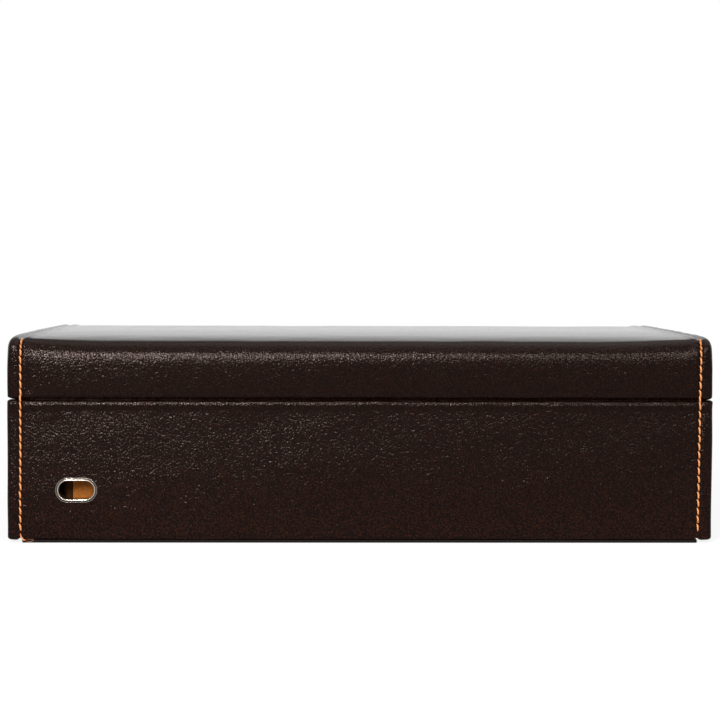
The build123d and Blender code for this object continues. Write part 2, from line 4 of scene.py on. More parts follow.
import bpy
import numpy as np
from mathutils import Matrix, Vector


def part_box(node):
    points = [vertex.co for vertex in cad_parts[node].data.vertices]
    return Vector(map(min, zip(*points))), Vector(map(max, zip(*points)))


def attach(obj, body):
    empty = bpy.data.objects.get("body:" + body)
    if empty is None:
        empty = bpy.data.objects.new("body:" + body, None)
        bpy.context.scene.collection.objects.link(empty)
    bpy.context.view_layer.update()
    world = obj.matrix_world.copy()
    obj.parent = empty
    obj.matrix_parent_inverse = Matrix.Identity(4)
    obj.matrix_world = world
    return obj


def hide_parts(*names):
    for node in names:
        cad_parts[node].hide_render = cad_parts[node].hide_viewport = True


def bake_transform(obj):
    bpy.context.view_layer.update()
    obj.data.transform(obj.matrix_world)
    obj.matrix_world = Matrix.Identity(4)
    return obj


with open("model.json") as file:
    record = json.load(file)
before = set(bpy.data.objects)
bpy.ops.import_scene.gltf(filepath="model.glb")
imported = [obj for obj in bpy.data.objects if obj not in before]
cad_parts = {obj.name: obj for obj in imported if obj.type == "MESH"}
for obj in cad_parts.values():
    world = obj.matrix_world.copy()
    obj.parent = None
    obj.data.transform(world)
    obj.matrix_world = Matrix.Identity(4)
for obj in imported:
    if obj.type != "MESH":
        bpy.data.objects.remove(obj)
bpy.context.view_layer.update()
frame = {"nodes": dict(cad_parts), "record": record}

# A leather watch box with a drawer, seen from behind: a padded lid on a leather
# hinge, two sewn seams down each face, and a metal-lined cable hole.
# Lengths are in millimetres until a mesh is made, where MM turns them into metres.
MM = 0.001
X, Y, Z = 0, 1, 2
WHOLE_BOX = [(axis, side) for axis in (X, Y, Z) for side in (1, -1)]


def corners(node):
    """Lowest and highest corner of a CAD node, in millimetres."""
    low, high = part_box(node)
    return np.array(low) / MM, np.array(high) / MM


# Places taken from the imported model
HALF_X, HALF_Y, CASE_RIM = corners("case_leather_right")[1]
CASE_LOW = corners("case_leather_right")[0][2]
LID_RIM = corners("lid_leather_right")[0][2]
LID_TOP = corners("lid_leather")[1][2]
SEAM_X = corners("back_wall")[1][0]
INNER_Y = corners("back_wall")[0][1]
SILL_TOP = corners("back_wall")[0][2]
OPENING_TOP = corners("rail_leather")[0][2]
HINGE_Z = (CASE_RIM + LID_RIM) / 2
GROMMET_LOW, GROMMET_HIGH = corners("cable_grommet")
HOLE_X = (GROMMET_LOW[0] + GROMMET_HIGH[0]) / 2
HOLE_Z = (GROMMET_LOW[2] + GROMMET_HIGH[2]) / 2

# Leather
SKIN = 0.9
PANEL_GAP = 0.14
RIM_RADIUS = 1.1
BACK_RIM_RADIUS = 0.9
UPRIGHT_RADIUS = 2.0
FOOT_RADIUS = 1.5
ROLL_GAP = 0.35
ROLL_DEPTH = 1.8
SILL_LIFT = 0.3

# Depth of the leather's grain, and the share of it left where it is pressed or stretched
LEATHER_GRAIN = 0.175
GRAIN_OVER_HINGE = 0.45
GRAIN_UNDER_SHOULDER = 0.9
GRAIN_ON_TOP = 0.26
GRAIN_AT_FOOT = 0.6

# The padded lid: its upper edge is rounder in the middle of the back and front than at the ends
SHOULDER_RADIUS = 6.0
SHOULDER_GAIN = 8.0
SHOULDER_REACH = 16.0
SHOULDER_RISE = 16.0
SOFTER_SIDE = 0.7
SOFTER_END = 4.0
LID_CROWN = 0.3
EDGE_FALL = 3.2
EDGE_FALL_WIDTH = 34.0
EDGE_FALL_AT_BACK_ENDS = 0.25
EDGE_FALL_AT_FRONT_ENDS = 0.55
EDGE_FALL_END_REACH = 45.0

# Swell and puckers of the turned rims
RIM_PUCKER = 0.16
RIM_PUCKER_WIDTH = 3.0
BEAD_DROP = 2.5
BEAD_WIDTH = 1.5
BACK_BEAD = 0.42
SIDE_BEAD = 0.3

# Sewn seams
STITCH_PITCH = 3.8
STITCH_LENGTH = 3.78
THREAD_WIDTH = 0.86
THREAD_HEIGHT = 0.74
STITCH_SLANT = 0.8
FIRST_HOLE = 0.9
SEAM_VALLEY = 0.55
SEAM_SWELL = 0.13
NEEDLE_DIMPLE = 0.3
NEEDLE_PUCKER = 0.2
TOP_SEAM_SINK = 1.3
TOP_SEAM_START = 2.0
TOP_SEAM_RUN_IN = 8.0

# Hinge
FOLD_INSET = 1.35
FOLD_DEPTH = 0.75
LINING_DEPTH = 2.2

# Watch cushions: their size before they are stuffed, as a share of the final one, and their seams
CUSHION_START = (0.93, 0.95, 0.90)
CUSHION_SOFTNESS = (6.0, 13.0, 12.0)
CUSHION_SEAM_INSET = 4.2
CUSHION_SEAM_DEPTH = 0.55
CUSHION_PUCKERS = 46

# Rolls for rings
RING_PAD_BACK = 3.0
RING_ROLLS = 9

# Cable hole and the drawer's notch behind it
NOTCH_WIDTH = 17.2
NOTCH_FLOOR = 6.0
HOLE_LENGTH = 16.5
HOLE_WIDTH = 8.6
HALF_LINE = (HOLE_LENGTH - HOLE_WIDTH) / 2
HOLE_MARGIN = 0.95

# Camera, fitted to the outline, the seams and the hole in the photograph
CAMERA_TURNS = (-1.0088, 2.4969, 0.1479)
CAMERA_PLACE = (18.06, 1108.25, 129.28)
FOCAL_PIXELS = 2141.69
PHOTO_PIXELS = 720
SENSOR_WIDTH = 36.0

# Light that the white surround sheds on the box
SURROUND_LIGHT = 0.3


def smooth_step(t):
    """0 below 0, 1 above 1, and 3t^2 - 2t^3 between."""
    t = np.clip(t, 0.0, 1.0)
    return t * t * (3 - 2 * t)


def hump(distance, width):
    """A bell of height 1 that falls off over width."""
    return np.exp(-((distance / width) ** 2))


def ripple(points, shortest, longest, count, seed):
    """Gentle unevenness: seeded sine waves in random directions, added up and scaled to about 1."""
    draw = np.random.default_rng(seed)
    ways = draw.normal(size=(count, 3))
    ways /= np.linalg.norm(ways, axis=1, keepdims=True)
    ways *= 2 * math.pi / draw.uniform(shortest, longest, (count, 1))
    turns = draw.uniform(0, 2 * math.pi, count)
    return np.sin(points @ ways.T + turns).sum(axis=1) / math.sqrt(count)


def stops(*plan):
    """Places along an axis: a start, then a step and an end, repeated; steps are evened out."""
    rows = []
    for start, step, end in zip(plan[:-2:2], plan[1::2], plan[2::2]):
        count = max(1, round(abs(end - start) / step))
        rows.append(np.linspace(start, end, count, endpoint=False))
    return np.append(np.concatenate(rows), plan[-1])


def edged_stops(low, high, fine, border, coarse):
    """Places along an axis with fine steps in a border at both ends and coarse ones between."""
    return stops(low, fine, low + border, coarse, high - border, fine, high)


def grid_quads(index):
    """Quads between neighbours in a grid of point numbers."""
    four = [index[:-1, :-1], index[:-1, 1:], index[1:, 1:], index[1:, :-1]]
    return np.stack(four, axis=-1).reshape(-1, 4)


def box_skin(xs, ys, zs, faces):
    """Quads over some faces of a box whose grid lines are at xs, ys and zs.

    A face is (axis, side) and lies at the low or high end of its axis. Limits for the
    other axes may follow, which cut it short. Points shared by two faces are one point.
    """
    rows = (np.asarray(xs, float), np.asarray(ys, float), np.asarray(zs, float))
    points, quads, count = [], [], 0
    for axis, side, *cut in faces:
        limits = cut[0] if cut else {}
        across, along = (axis + 1) % 3, (axis + 2) % 3
        spans = []
        for other in (across, along):
            low, high = limits.get(other, (-math.inf, math.inf))
            spans.append(rows[other][(rows[other] >= low - 1e-6) & (rows[other] <= high + 1e-6)])
        u, v = np.meshgrid(*spans, indexing="ij")
        face = np.empty((u.size, 3))
        face[:, axis] = rows[axis][-1 if side > 0 else 0]
        face[:, across], face[:, along] = u.ravel(), v.ravel()
        index = count + np.arange(u.size).reshape(u.shape)
        four = np.stack([index[:-1, :-1], index[1:, :-1], index[1:, 1:], index[:-1, 1:]], axis=-1)
        four = four.reshape(-1, 4)
        quads.append(four if side > 0 else four[:, ::-1])
        points.append(face)
        count += len(face)
    points = np.vstack(points)
    _, first, where = np.unique(np.round(points, 4), axis=0, return_index=True, return_inverse=True)
    return points[first], where.ravel()[np.vstack(quads)]


def round_box(q, low, high, soft_low, soft_high):
    """Moves points q of a sharp box onto its rounded form.

    c is the nearest point of the core box, which is inset by the half axes a, and
    d = (q - c) / a. The new point is c + a d / |d|, on an ellipsoid about c.
    """
    soft_low, soft_high = np.asarray(soft_low), np.asarray(soft_high)
    core = np.clip(q, low + soft_low, high - soft_high)
    axes = np.where(q > core, soft_high, soft_low)
    d = (q - core) / axes
    return core + axes * d / np.maximum(np.linalg.norm(d, axis=1, keepdims=True), 1.0)


def normals_of(points, quads):
    """Unit normals at the points: the cross products of each quad's diagonals, added up."""
    cross = np.cross(points[quads[:, 2]] - points[quads[:, 0]], points[quads[:, 3]] - points[quads[:, 1]])
    total = np.zeros_like(points)
    for corner in range(4):
        np.add.at(total, quads[:, corner], cross)
    return total / np.maximum(np.linalg.norm(total, axis=1, keepdims=True), 1e-12)


def closed_shell(points, quads, thickness):
    """A skin of even thickness: the outer grid, a copy moved in, and a band along each free edge."""
    inner = points - normals_of(points, quads) * thickness
    edges = np.concatenate([quads[:, [i, (i + 1) % 4]] for i in range(4)])
    _, first, uses = np.unique(np.sort(edges, axis=1), axis=0, return_index=True, return_counts=True)
    free = edges[first[uses == 1]]
    count = len(points)
    band = np.stack([free[:, 1], free[:, 0], free[:, 0] + count, free[:, 1] + count], axis=1)
    return np.vstack([points, inner]), np.vstack([quads, quads[:, ::-1] + count, band])


def make_piece(name, points, quads, material, uv=None, sharp=50.0):
    """A mesh object at the origin from points in millimetres, smooth except across sharp edges."""
    mesh = bpy.data.meshes.new(name)
    mesh.from_pydata((points * MM).tolist(), [], quads.tolist())
    mesh.materials.append(material)
    mesh.polygons.foreach_set("use_smooth", np.ones(len(mesh.polygons), bool))
    mesh.set_sharp_from_angle(angle=math.radians(sharp))
    if uv is not None:
        loops = np.empty(len(mesh.loops), np.int32)
        mesh.loops.foreach_get("vertex_index", loops)
        mesh.uv_layers.new(name="UVMap").data.foreach_set("uv", uv[loops].ravel())
    piece = bpy.data.objects.new(name, mesh)
    bpy.context.collection.objects.link(piece)
    return piece


def place_on(piece, body, slot, *nodes):
    """Lets a piece ride on a body and stands it in for CAD nodes; the slot is not used."""
    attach(piece, body)
    if nodes:
        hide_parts(*nodes)
    return piece


def bend_with_lid(piece):
    """Bakes a piece's placement into its mesh."""
    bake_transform(piece)


def node(tree, kind, *values, output=0, **named):
    """A shader node's output: plain values feed its sockets in order, named ones a socket or a setting."""
    made = tree.nodes.new("ShaderNode" + kind)
    for key, value in named.items():
        if key[0].islower():
            setattr(made, key, value)
    for key, value in named.items():
        if key[0].isupper():
            feed(tree, made.inputs[key.replace("_", " ")], value)
    for socket, value in zip(made.inputs, values):
        feed(tree, socket, value)
    return made.outputs[output]


def feed(tree, socket, value):
    """Links a socket to another node's output, or sets it."""
    if isinstance(value, bpy.types.NodeSocket):
        tree.links.new(value, socket)
    else:
        socket.default_value = value


def maths(tree, operation, *values):
    """A math node."""
    return node(tree, "Math", *values, operation=operation)


def times(tree, first, second):
    """Two values multiplied."""
    return maths(tree, "MULTIPLY", first, second)


def weighted(tree, *terms):
    """The sum of some values, each times its weight."""
    total = times(tree, *terms[0])
    for term in terms[1:]:
        total = maths(tree, "ADD", total, times(tree, *term))
    return total


def span(tree, value, low, high, to_low, to_high):
    """A value mapped from one range to another and held inside it."""
    return node(tree, "MapRange", value, low, high, to_low, to_high, clamp=True)


def new_material(name):
    """An empty node material with its shader, and its Object coordinates in millimetres."""
    material = bpy.data.materials.new(name)
    material.use_nodes = True
    tree = material.node_tree
    shader = tree.nodes["Principled BSDF"]
    place = tree.nodes.new("ShaderNodeTexCoord").outputs["Object"]
    place = node(tree, "Mapping", Vector=place, Scale=(1000.0, 1000.0, 1000.0))
    return material, tree, shader, place


def set_sockets(shader, **values):
    """Sets the shader's sockets that are the same all over the surface."""
    for name, value in values.items():
        shader.inputs[name.replace("_", " ")].default_value = value


def paint(tree, shader, tone, dark, light):
    """The base colour goes from dark to light as the tone goes from 0 to 1."""
    made = tree.nodes.new("ShaderNodeMix")
    made.data_type = "RGBA"
    for number, value in ((0, tone), (6, dark), (7, light)):
        feed(tree, made.inputs[number], value)
    feed(tree, shader.inputs["Base Color"], made.outputs[2])


def rough_up(tree, shader, height, depth):
    """Bump from a height of 0 to 1 that stands for depth millimetres."""
    bump = node(tree, "Bump", Height=height, Distance=depth * MM, Strength=1.0)
    tree.links.new(bump, shader.inputs["Normal"])


def leather_material(name, light, dark):
    """Fine-grained dark leather: rounded pebbles between creases, drawn-out wrinkles and pores.

    A pebble's height is 1 - r^2, r being the distance from its middle. The grain is
    pressed flatter over the hinge and the foot, and most on the stretched top, which
    shines more towards the front than towards the handled back edge.
    """
    material, tree, shader, place = new_material(name)
    sway = node(tree, "TexNoise", Vector=place, Scale=0.05, Detail=2.0)
    warp = node(tree, "TexNoise", Vector=place, Scale=0.12, Detail=2.0, output=1)
    drift = node(tree, "VectorMath", warp, (0.5, 0.5, 0.5), operation="SUBTRACT")
    drift = node(tree, "VectorMath", drift, (1.6, 1.6, 1.6), operation="MULTIPLY")
    bent = node(tree, "VectorMath", place, drift, operation="ADD")

    swell = node(tree, "TexNoise", Vector=bent, Scale=0.6, Detail=1.0, Roughness=0.5)
    reach = node(
        tree, "TexVoronoi", Vector=bent, Scale=1.15, Smoothness=0.12, Randomness=1.0, feature="SMOOTH_F1"
    )
    pebbles = maths(tree, "SUBTRACT", 1.0, times(tree, reach, reach))
    drawn = node(tree, "Mapping", Vector=bent, Scale=(0.42, 0.42, 1.0), Rotation=(0.0, 0.25, 0.0))
    wrinkles = node(tree, "TexNoise", Vector=drawn, Scale=0.45, Detail=2.0, Roughness=0.6)
    from_crease = maths(tree, "ABSOLUTE", maths(tree, "SUBTRACT", wrinkles, 0.5))
    creases = span(tree, from_crease, 0.0, 0.06, 0.0, 1.0)
    pores = node(tree, "TexNoise", Vector=place, Scale=2.6, Detail=2.0, Roughness=0.7)
    patches = span(tree, sway, 0.42, 0.6, 0.2, 1.0)
    height = weighted(
        tree, (pebbles, 0.8), (swell, 0.8), (times(tree, creases, patches), 0.09), (pores, 0.03)
    )

    towards_back = node(tree, "SeparateXYZ", place, output=1)
    up = node(tree, "SeparateXYZ", place, output=2)
    on_case = span(tree, up, CASE_RIM - 1.0, CASE_RIM + 1.0, 1.0, 0.0)
    on_lid = span(tree, up, CASE_RIM + 4.0, CASE_RIM + 20.0, GRAIN_OVER_HINGE, GRAIN_UNDER_SHOULDER)
    on_top = span(tree, up, LID_TOP - 4, LID_TOP - 1, 1.0, GRAIN_ON_TOP)
    at_foot = span(tree, up, 4.0, 40.0, GRAIN_AT_FOOT, 1.0)
    pressed = times(tree, times(tree, maths(tree, "MAXIMUM", on_case, on_lid), on_top), at_foot)
    rough_up(tree, shader, times(tree, height, pressed), LEATHER_GRAIN)

    # Painted highlight and shade: the pebbles' middles are painted lighter, and the creases and the hollows
    # between pebbles darker.
    tone = times(tree, span(tree, reach, 0.2, 0.6, 1.0, 0.0), span(tree, creases, 0.0, 1.0, 0.3, 1.0))
    # Painted light: the leather is painted lighter towards the foot, as light from the pale floor would
    # make it, and darker higher up.
    tone = times(tree, tone, span(tree, up, 8.0, 44.0, 1.0, 0.45))
    paint(tree, shader, tone, dark, light)
    crown = span(tree, up, LID_TOP - 4, LID_TOP - 1, 0.0, 1.0)
    worn = span(tree, towards_back, -10.0, 90.0, 0.75, 1.2)
    sheen = maths(tree, "ADD", 1.0, times(tree, crown, maths(tree, "SUBTRACT", worn, 1.0)))
    feed(tree, shader.inputs["Roughness"], times(tree, span(tree, pores, 0.3, 0.7, 0.13, 0.19), sheen))
    set_sockets(shader, Specular_IOR_Level=0.098, Specular_Tint=(1.0, 0.78, 0.70, 1.0))
    return material


def thread_material():
    """Waxed tan thread: two plies that wind along the UV map's length, with stray fibres."""
    material, tree, shader, place = new_material("waxed_tan_thread")
    uv = tree.nodes.new("ShaderNodeTexCoord").outputs["UV"]
    round_it, along = (node(tree, "SeparateXYZ", uv, output=i) for i in (0, 1))
    turn = maths(tree, "ADD", round_it, times(tree, along, 2.6))
    ply = span(tree, maths(tree, "SINE", times(tree, turn, 4 * math.pi)), -1.0, 1.0, 0.0, 1.0)
    fibres = node(tree, "TexNoise", Vector=place, Scale=4.0, Detail=2.0)
    tone = weighted(tree, (ply, 0.5), (fibres, 0.4))
    # Painted shade and highlight: each stitch is painted darker at its starting end, the lower one on the
    # back, and lighter towards its far end.
    tone = times(tree, tone, span(tree, along, 0.05, 0.7, 0.15, 1.35))
    paint(tree, shader, tone, (0.27, 0.080, 0.018, 1.0), (0.72, 0.29, 0.09, 1.0))
    set_sockets(shader, Roughness=0.42, Specular_IOR_Level=0.5)
    rough_up(tree, shader, ply, 0.12)
    return material


def suede_material(name, light, dark, nap=0.12):
    """Suede: a short nap that lies in soft light and dark patches, with fine fibres."""
    material, tree, shader, place = new_material(name)
    patches = node(tree, "TexNoise", Vector=place, Scale=0.22, Detail=5.0, Roughness=0.75)
    fibres = node(tree, "TexNoise", Vector=place, Scale=2.4, Detail=3.0, Roughness=0.75)
    tone = span(tree, weighted(tree, (patches, 0.55), (fibres, 0.45)), 0.34, 0.66, 0.0, 1.0)
    paint(tree, shader, tone, dark, light)
    set_sockets(shader, Roughness=0.95, Specular_IOR_Level=0.05, Sheen_Weight=0.04, Sheen_Roughness=0.4)
    rough_up(tree, shader, fibres, nap)
    return material


def metal_material(name, colour, roughness, brushed=False):
    """Plated metal with faint handling marks, drawn out along X where it is brushed."""
    material, tree, shader, place = new_material(name)
    if brushed:
        place = node(tree, "Mapping", Vector=place, Scale=(0.05, 1.0, 1.0))
    marks = node(tree, "TexNoise", Vector=place, Scale=1.6, Detail=5.0, Roughness=0.65)
    feed(tree, shader.inputs["Roughness"], span(tree, marks, 0.3, 0.7, roughness * 0.7, roughness * 1.4))
    dull = tuple(c * 0.8 for c in colour[:3]) + (1.0,)
    paint(tree, shader, span(tree, marks, 0.35, 0.65, 0.0, 1.0), dull, colour)
    set_sockets(shader, Metallic=1.0)
    rough_up(tree, shader, marks, 0.01)
    return material


def board_material():
    """Fibreboard: fine flecks pressed flat."""
    material, tree, shader, place = new_material("pressed_board")
    flat = node(tree, "Mapping", Vector=place, Scale=(1.0, 1.0, 3.0))
    flecks = node(tree, "TexNoise", Vector=flat, Scale=1.1, Detail=6.0, Roughness=0.8)
    tone = span(tree, flecks, 0.35, 0.65, 0.0, 1.0)
    paint(tree, shader, tone, (0.23, 0.14, 0.07, 1), (0.42, 0.29, 0.17, 1))
    set_sockets(shader, Roughness=0.8)
    rough_up(tree, shader, flecks, 0.05)
    return material


def cloth_material(name, light, dark, thread):
    """Plain woven cloth: two sets of ridges at right angles, a thread apart."""
    material, tree, shader, place = new_material(name)
    beat = 2 * math.pi / thread
    warp, weft = (
        maths(tree, "SINE", times(tree, node(tree, "SeparateXYZ", place, output=i), beat)) for i in (0, 1)
    )
    weave = span(tree, times(tree, warp, weft), -1.0, 1.0, 0.0, 1.0)
    fuzz = node(tree, "TexNoise", Vector=place, Scale=2.0, Detail=4.0)
    tone = weighted(tree, (weave, 0.5), (fuzz, 0.5))
    paint(tree, shader, tone, dark, light)
    set_sockets(shader, Roughness=0.9, Specular_IOR_Level=0.05)
    rough_up(tree, shader, tone, 0.08)
    return material


LEATHER = leather_material("dark_brown_leather", (0.0155, 0.0040, 0.0020, 1), (0.0016, 0.0004, 0.0002, 1))
THREAD = thread_material()
SUEDE = suede_material("tan_suede", (0.30, 0.104, 0.020, 1), (0.12, 0.036, 0.006, 1))
# Painted shade: a near-black suede for the notch's binding, standing in for the shade inside the cable
# notch.
PAINTED_SHADE_SUEDE = suede_material("painted_shade_binding", (0.055, 0.020, 0.005, 1), (0.012, 0.004, 0.001, 1))
CUSHION_SUEDE = suede_material("cushion_suede", (0.40, 0.185, 0.065, 1), (0.28, 0.118, 0.036, 1))
NICKEL = metal_material("polished_nickel", (0.44, 0.39, 0.34, 1), 0.18)
# Painted reflection: near-black metal for the grommet's channel, standing in for the dark band it reflects.
CHANNEL_PAINTED_DARK = metal_material("channel_painted_dark", (0.045, 0.036, 0.032, 1), 0.3)
STEEL = metal_material("plated_steel", (0.62, 0.62, 0.60, 1), 0.28, brushed=True)
BOARD = board_material()
BASE_CLOTH = cloth_material("base_cloth", (0.012, 0.009, 0.008, 1), (0.004, 0.003, 0.003, 1), 0.6)
FELT = suede_material("dark_felt", (0.05, 0.035, 0.03, 1), (0.02, 0.014, 0.012, 1), nap=0.2)
FOAM = suede_material("foam", (0.62, 0.56, 0.44, 1), (0.5, 0.45, 0.35, 1), nap=0.2)
SLOT_MATERIALS = {
    "dark_leather": LEATHER,
    "board": BOARD,
    "tan_suede": SUEDE,
    "cushion_suede": CUSHION_SUEDE,
    "polished_nickel": NICKEL,
    "plated_steel": STEEL,
    "base_cloth": BASE_CLOTH,
    "felt": FELT,
    "foam": FOAM,
}


def finish_cad_nodes():
    """Gives every CAD node the procedural material of its slot in the record."""
    for part in frame["record"]["subparts"]:
        slots = frame["nodes"][part["node"]].data.materials
        slots.clear()
        slots.append(SLOT_MATERIALS[part["material_slot"]])


def seam_lean(points):
    """How far each point moves along X, because the sewn seams aren't quite upright.

    The shift is a hump about the seam, so the box's sides and middle stay in place.
    """
    down = 1 - np.clip(points[:, 2] / LID_TOP, 0.0, 1.0)
    at_seam = hump(np.abs(points[:, 0]) - SEAM_X, 3.2)
    return np.where(points[:, 0] > 0, 0.5 * down, -0.7 + 1.2 * down) * at_seam


def seam_relief(q, run):
    """Height of the leather near a seam, from the distance across it and the run along it.

    A valley under the thread, a low swell on either side, a dimple at each needle
    hole, and a pucker beside each hole on the middle panel.
    """
    across = np.abs(q[:, 0]) - SEAM_X
    beat = (0.5 + 0.5 * np.cos(2 * math.pi * (run - FIRST_HOLE) / STITCH_PITCH)) ** 3
    relief = -SEAM_VALLEY * hump(across, 0.85) + SEAM_SWELL * hump(np.abs(across) - 2.3, 1.1)
    relief -= NEEDLE_DIMPLE * beat * hump(across, 0.7)
    relief += NEEDLE_PUCKER * beat * hump(across + 1.35, 0.45)
    return relief - top_sink(q) * (hump(across, 1.1) - 0.35 * hump(np.abs(across) - 3.0, 1.6))


def top_sink(q):
    """How much deeper a seam lies in the padded top than on the upright faces."""
    inside = HALF_Y - np.abs(q[:, 1]) - TOP_SEAM_START
    return TOP_SEAM_SINK * smooth_step(inside / TOP_SEAM_RUN_IN) * (q[:, 2] > LID_TOP - 0.01)


def lid_run(q):
    """Distance along a lid seam: up the back from the rim, over the top and down the front."""
    rise = np.where(q[:, 1] > -HALF_Y + 0.01, q[:, 2] - LID_RIM, 2 * LID_TOP - LID_RIM - q[:, 2])
    return rise + HALF_Y - q[:, 1]


def case_run(q):
    """Distance down the case from its rim."""
    return CASE_RIM - q[:, 2]


def lid_form(q, rim=LID_RIM):
    """The padded lid's outer form: corners grow softer towards the top, and the top is crowned."""
    beside = (HALF_X - np.abs(q[:, 0])) - (HALF_Y - np.abs(q[:, 1]))
    shoulder = SHOULDER_RADIUS + SHOULDER_GAIN * smooth_step(beside / SHOULDER_REACH)
    softer = smooth_step((q[:, 2] - LID_TOP + SHOULDER_RISE) / SHOULDER_RISE)
    side, end = UPRIGHT_RADIUS + SOFTER_SIDE * softer, UPRIGHT_RADIUS + SOFTER_END * softer
    soft_low = np.stack([side, end, np.full(len(q), RIM_RADIUS)], axis=1)
    soft_high = np.stack([side, end, shoulder], axis=1)
    low, high = np.array([-HALF_X, -HALF_Y, rim]), np.array([HALF_X, HALF_Y, LID_TOP])
    points = round_box(q, low, high, soft_low, soft_high)
    near_top = np.clip((points[:, 2] - LID_TOP + shoulder) / shoulder, 0.0, 1.0) ** 2
    points[:, 2] -= LID_CROWN * (points[:, 1] / HALF_Y) ** 2 * near_top
    points[:, 2] -= edge_fall(points) * near_top
    return points


def edge_fall(points):
    """How far the padded top drops towards the front and back: F m v^3.

    v rises from 0 to 1 over the last stretch, and m falls towards the two ends, where the
    leather is drawn over the board's corners.
    """
    v = np.clip((np.abs(points[:, 1]) - HALF_Y) / EDGE_FALL_WIDTH + 1, 0.0, 1.0)
    least = np.where(points[:, 1] > 0, EDGE_FALL_AT_BACK_ENDS, EDGE_FALL_AT_FRONT_ENDS)
    drawn = least + (1 - least) * smooth_step((HALF_X - np.abs(points[:, 0])) / EDGE_FALL_END_REACH)
    return EDGE_FALL * drawn * v**3


def case_form(q, rim=CASE_RIM, foot=CASE_LOW, rim_radius=RIM_RADIUS):
    """The case's outer form: a box with rounded uprights, rim and foot."""
    low, high = np.array([-HALF_X, -HALF_Y, foot]), np.array([HALF_X, HALF_Y, rim])
    soft_low = (UPRIGHT_RADIUS, UPRIGHT_RADIUS, FOOT_RADIUS)
    soft_high = (UPRIGHT_RADIUS, UPRIGHT_RADIUS, rim_radius)
    return round_box(q, low, high, soft_low, soft_high)


def cover_with_leather(name, body, node_name, q, quads, form, run, unevenness, seed, rim_bead=0.0):
    """A leather panel: form, seam relief and gentle unevenness along its normals, then thickness.

    A rim bead is a low swell just under the case's rim, where the leather is turned over
    a cord. It is fullest towards the ends and dies away at the corners.
    """
    points = form(q)
    relief = seam_relief(q, run(q)) + unevenness * ripple(points, 12, 60, 36, seed)
    at_case_rim = hump(q[:, 2] - CASE_RIM, RIM_PUCKER_WIDTH)
    at_rim = np.maximum(at_case_rim, hump(q[:, 2] - LID_RIM, RIM_PUCKER_WIDTH))
    relief += RIM_PUCKER * at_rim * ripple(points * (1, 1, 0.3), 4.5, 9, 14, seed + 100)
    from_middle = np.abs(q[:, 0])
    fullness = 0.7 + 0.55 * smooth_step((from_middle - 60) / 70)
    fullness *= 1 - smooth_step((from_middle - HALF_X + 3) / 3)
    relief += rim_bead * fullness * hump(q[:, 2] - CASE_RIM + BEAD_DROP, BEAD_WIDTH)
    points = points + normals_of(points, quads) * relief[:, None]
    points[:, 0] += seam_lean(points)
    points, quads = closed_shell(points, quads, SKIN)
    place_on(make_piece(name, points, quads, LEATHER), body, "dark_leather", node_name)


# Grid lines: fine beside the seams, along the edges and round the cable hole
MIDDLE = SEAM_X - PANEL_GAP / 2
EDGE = SEAM_X + PANEL_GAP / 2
MIDDLE_XS = stops(-MIDDLE, 0.42, -154, 1.0, -150, 4.0, 150, 1.0, 154, 0.42, MIDDLE)
BACK_XS = stops(-MIDDLE, 0.42, -154, 1.0, -150, 4.0, 118, 0.7, 148, 1.0, 154, 0.42, MIDDLE)
SIDE_XS = stops(EDGE, 0.42, 162, 0.5, HALF_X)
LONG_YS = stops(-HALF_Y, 0.76, HALF_Y)
SIDE_YS = edged_stops(-HALF_Y, HALF_Y, 0.4, 4, 4.0)
ROLLED_EDGE = {Y: (HALF_Y - ROLL_DEPTH, HALF_Y)}


def side_panels(body, ys, zs, form, run, unevenness, seed, rim_bead=0.0):
    """A body's two side panels, turned over every edge as far as the seams."""
    for sign, side in ((1, "right"), (-1, "left")):
        xs = SIDE_XS if sign > 0 else -SIDE_XS[::-1]
        q, quads = box_skin(xs, ys, zs, [(X, sign), (Y, 1), (Y, -1), (Z, 1), (Z, -1)])
        cover_with_leather(
            f"{body}_leather_end_{side}", body, f"{body}_leather_{side}", q, quads,
            form, run, unevenness, seed + sign, rim_bead,
        )


def lid_panels():
    """The lid's leather: one long panel up the back, over the top and down the front, and two sides."""
    back_rim = LID_RIM + ROLL_GAP
    front_turn = {Y: (-HALF_Y, -INNER_Y)}
    faces = [(Y, 1), (Z, 1), (Y, -1), (Z, -1, ROLLED_EDGE), (Z, -1, front_turn)]
    q, quads = box_skin(MIDDLE_XS, LONG_YS, stops(back_rim, 0.3, 70, 0.76, LID_TOP), faces)
    cover_with_leather(
        "lid_leather_middle", "lid", "lid_leather", q, quads,
        lambda q: lid_form(q, back_rim), lid_run, 0.06, 11,
    )
    side_panels("lid", LONG_YS, stops(LID_RIM, 0.3, 70, 0.76, LID_TOP), lid_form, lid_run, 0.06, 12)


def hole_distance(x, z):
    """Distance outside the cable hole: from its centre line, less half its width."""
    beyond = np.maximum(np.abs(x - HOLE_X) - HALF_LINE, 0.0)
    return np.hypot(beyond, z - HOLE_Z) - HOLE_WIDTH / 2


def cut_cable_hole(q, quads):
    """Drops the quads over the cable hole and draws the cut edge onto its outline, under the bead."""
    middle = q[quads].mean(axis=1)
    on_back = middle[:, 1] > HALF_Y - 0.01
    inside = on_back & (hole_distance(middle[:, 0], middle[:, 2]) < HOLE_MARGIN)
    kept = quads[~inside]
    edge = np.intersect1d(np.unique(quads[inside]), np.unique(kept))
    axis_x = np.clip(q[edge, 0], HOLE_X - HALF_LINE, HOLE_X + HALF_LINE)
    away = np.stack([q[edge, 0] - axis_x, q[edge, 2] - HOLE_Z], axis=1)
    away *= (HOLE_WIDTH / 2 + HOLE_MARGIN) / np.linalg.norm(away, axis=1, keepdims=True)
    q = q.copy()
    q[edge, 0], q[edge, 2] = axis_x + away[:, 0], HOLE_Z + away[:, 1]
    used = np.unique(kept)
    renumber = np.zeros(len(q), int)
    renumber[used] = np.arange(len(used))
    return q[used], renumber[kept]


